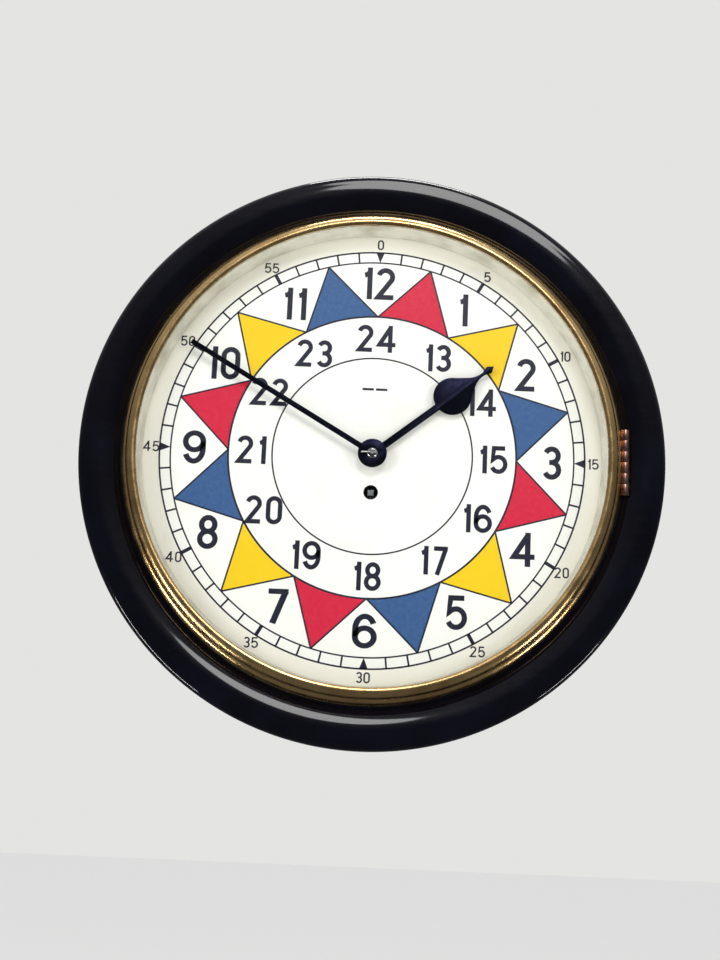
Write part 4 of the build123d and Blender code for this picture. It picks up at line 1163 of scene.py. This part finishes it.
# ---------------------------------------------------------------------------
# Studio
# ---------------------------------------------------------------------------
@dataclass(frozen=True)
class SoftBox:
    """A rectangular studio lamp aimed at the dial."""

    name: str
    place: tuple[float, float, float]
    size: tuple[float, float]
    watts: float
    mirrored: bool = True

    def build(self, target: Vector) -> None:
        """Hang the lamp and aim it."""
        lamp = bpy.data.lights.new(self.name, "AREA")
        lamp.shape = "RECTANGLE"
        lamp.size, lamp.size_y = self.size
        lamp.energy = self.watts
        holder = bpy.data.objects.new(self.name, lamp)
        bpy.context.collection.objects.link(holder)
        holder.visible_glossy = self.mirrored
        holder.location = self.place
        holder.rotation_euler = (target - holder.location).to_track_quat("-Z", "Y").to_euler()


@dataclass
class Studio:
    """Camera, floor, lamps and background."""

    measures: Measures
    lens_mm: float = 59.4
    distance_mm: float = 1191.0
    below_deg: float = 12.0
    roll_deg: float = 2.4
    shift: tuple[float, float] = (-0.01271, -0.02583)
    sensor_mm: float = 36.0
    floor_z: float = -0.85
    sun_strength: float = 0.95
    sun_spread_deg: float = 20.0
    sun_way: tuple[float, float, float] = (-0.10, 0.82, -0.56)
    # strength of the room that the clock mirrors, at the floor and overhead
    room: tuple[float, float] = (0.11, 0.55)

    def camera(self) -> None:
        """Place the camera below the dial's centre, looking up at it."""
        data = bpy.data.cameras.new("camera")
        data.sensor_fit = "VERTICAL"
        data.sensor_height = self.sensor_mm
        data.lens = self.lens_mm
        data.shift_x, data.shift_y = self.shift
        camera = bpy.data.objects.new("camera", data)
        bpy.context.collection.objects.link(camera)
        dip = math.radians(self.below_deg)
        centre = Vector((0, -self.measures.dial_face, 0))
        place = (centre + Vector((0, -math.cos(dip), -math.sin(dip))) * self.distance_mm) * MM
        look = (centre * MM - place).to_track_quat("-Z", "Y").to_matrix().to_4x4()
        roll = Matrix.Rotation(math.radians(self.roll_deg), 4, "Z")
        camera.matrix_world = Matrix.Translation(place) @ look @ roll
        bpy.context.scene.camera = camera
        bpy.context.scene.view_settings.view_transform = "Standard"

    def floor(self) -> None:
        """A plain pale floor with a faint grain."""
        deselect()
        bpy.ops.mesh.primitive_plane_add(size=24, location=(0, 0, self.floor_z))
        floor = bpy.context.object
        floor.name = "studio_floor"
        surface = Surface("pale_floor_paint", IOR=1.45, Emission_Color=linear("#EDEDEB"),
                          Emission_Strength=0.3)
        surface.colour(surface.mix(surface.noise(60, 4), linear("#F3F3F1"), linear("#F8F8F7")))
        surface.patchy_roughness(25, 3, 0.55, 0.7)
        floor.data.materials.append(surface.material)
        floor.visible_glossy = False

    def world(self) -> None:
        """A pale backdrop for the eye; the clock itself mirrors a dim room that is lighter overhead."""
        world = bpy.data.worlds.new("studio")
        bpy.context.scene.world = world
        world.use_nodes = True
        tree = world.node_tree
        background = tree.nodes["Background"]
        place = add_node(tree, "ShaderNodeTexCoord").outputs["Generated"]
        parts = add_node(tree, "ShaderNodeSeparateXYZ", links={0: place})
        rise = add_node(tree, "ShaderNodeMapRange",
                        {"From Min": 0.15, "From Max": 0.85, "To Min": self.room[0], "To Max": self.room[1]},
                        {"Value": parts.outputs["Z"]})
        background.inputs["Color"].default_value = linear("#F2F3F5")
        tree.links.new(rise.outputs["Result"], background.inputs["Strength"])
        backdrop = add_node(tree, "ShaderNodeBackground", {"Color": linear("#E4E4E2"), "Strength": 1.0})
        seen = add_node(tree, "ShaderNodeLightPath").outputs["Is Camera Ray"]
        blend = add_node(tree, "ShaderNodeMixShader", links={0: seen, 1: background.outputs[0],
                                                            2: backdrop.outputs[0]})
        tree.links.new(blend.outputs[0], tree.nodes["World Output"].inputs["Surface"])

    def sun(self) -> None:
        """A broad soft light from high in front, which lights dial and floor evenly."""
        lamp = bpy.data.lights.new("high_sun", "SUN")
        lamp.energy = self.sun_strength
        lamp.angle = math.radians(self.sun_spread_deg)
        holder = bpy.data.objects.new("high_sun", lamp)
        bpy.context.collection.objects.link(holder)
        holder.rotation_euler = Vector(self.sun_way).to_track_quat("-Z", "Y").to_euler()

    def build(self) -> None:
        """Set the whole studio."""
        self.camera()
        self.floor()
        self.world()
        self.sun()
        target = Vector((0, -self.measures.dial_face * MM, 0))
        for lamp in (
            SoftBox("top_strip", (0.03, 0.1, 1.25), (0.62, 0.16), 8),
            SoftBox("fill_front_left", (-1.9, -2.0, 0.5), (1.0, 1.2), 29, False),
            SoftBox("fill_front_right", (2.0, -1.9, 0.3), (0.8, 1.2), 19, False),
            SoftBox("rim_low_left", (-1.0, -0.34, -0.77), (0.06, 0.62), 5.5),
            SoftBox("rim_low_right", (0.98, -0.28, -0.8), (0.05, 0.4), 3),
        ):
            lamp.build(target)


def main() -> None:
    """Build the clock's looks in order, then the studio around it."""
    measures = Measures.from_frame()
    finishes = Finishes()
    TurnedCase(measures, finishes).build()
    DialMarkings(measures, finishes).build()
    DressedNodes(finishes).build()
    Studio(measures).build()


if __name__ == "__main__":
    main()
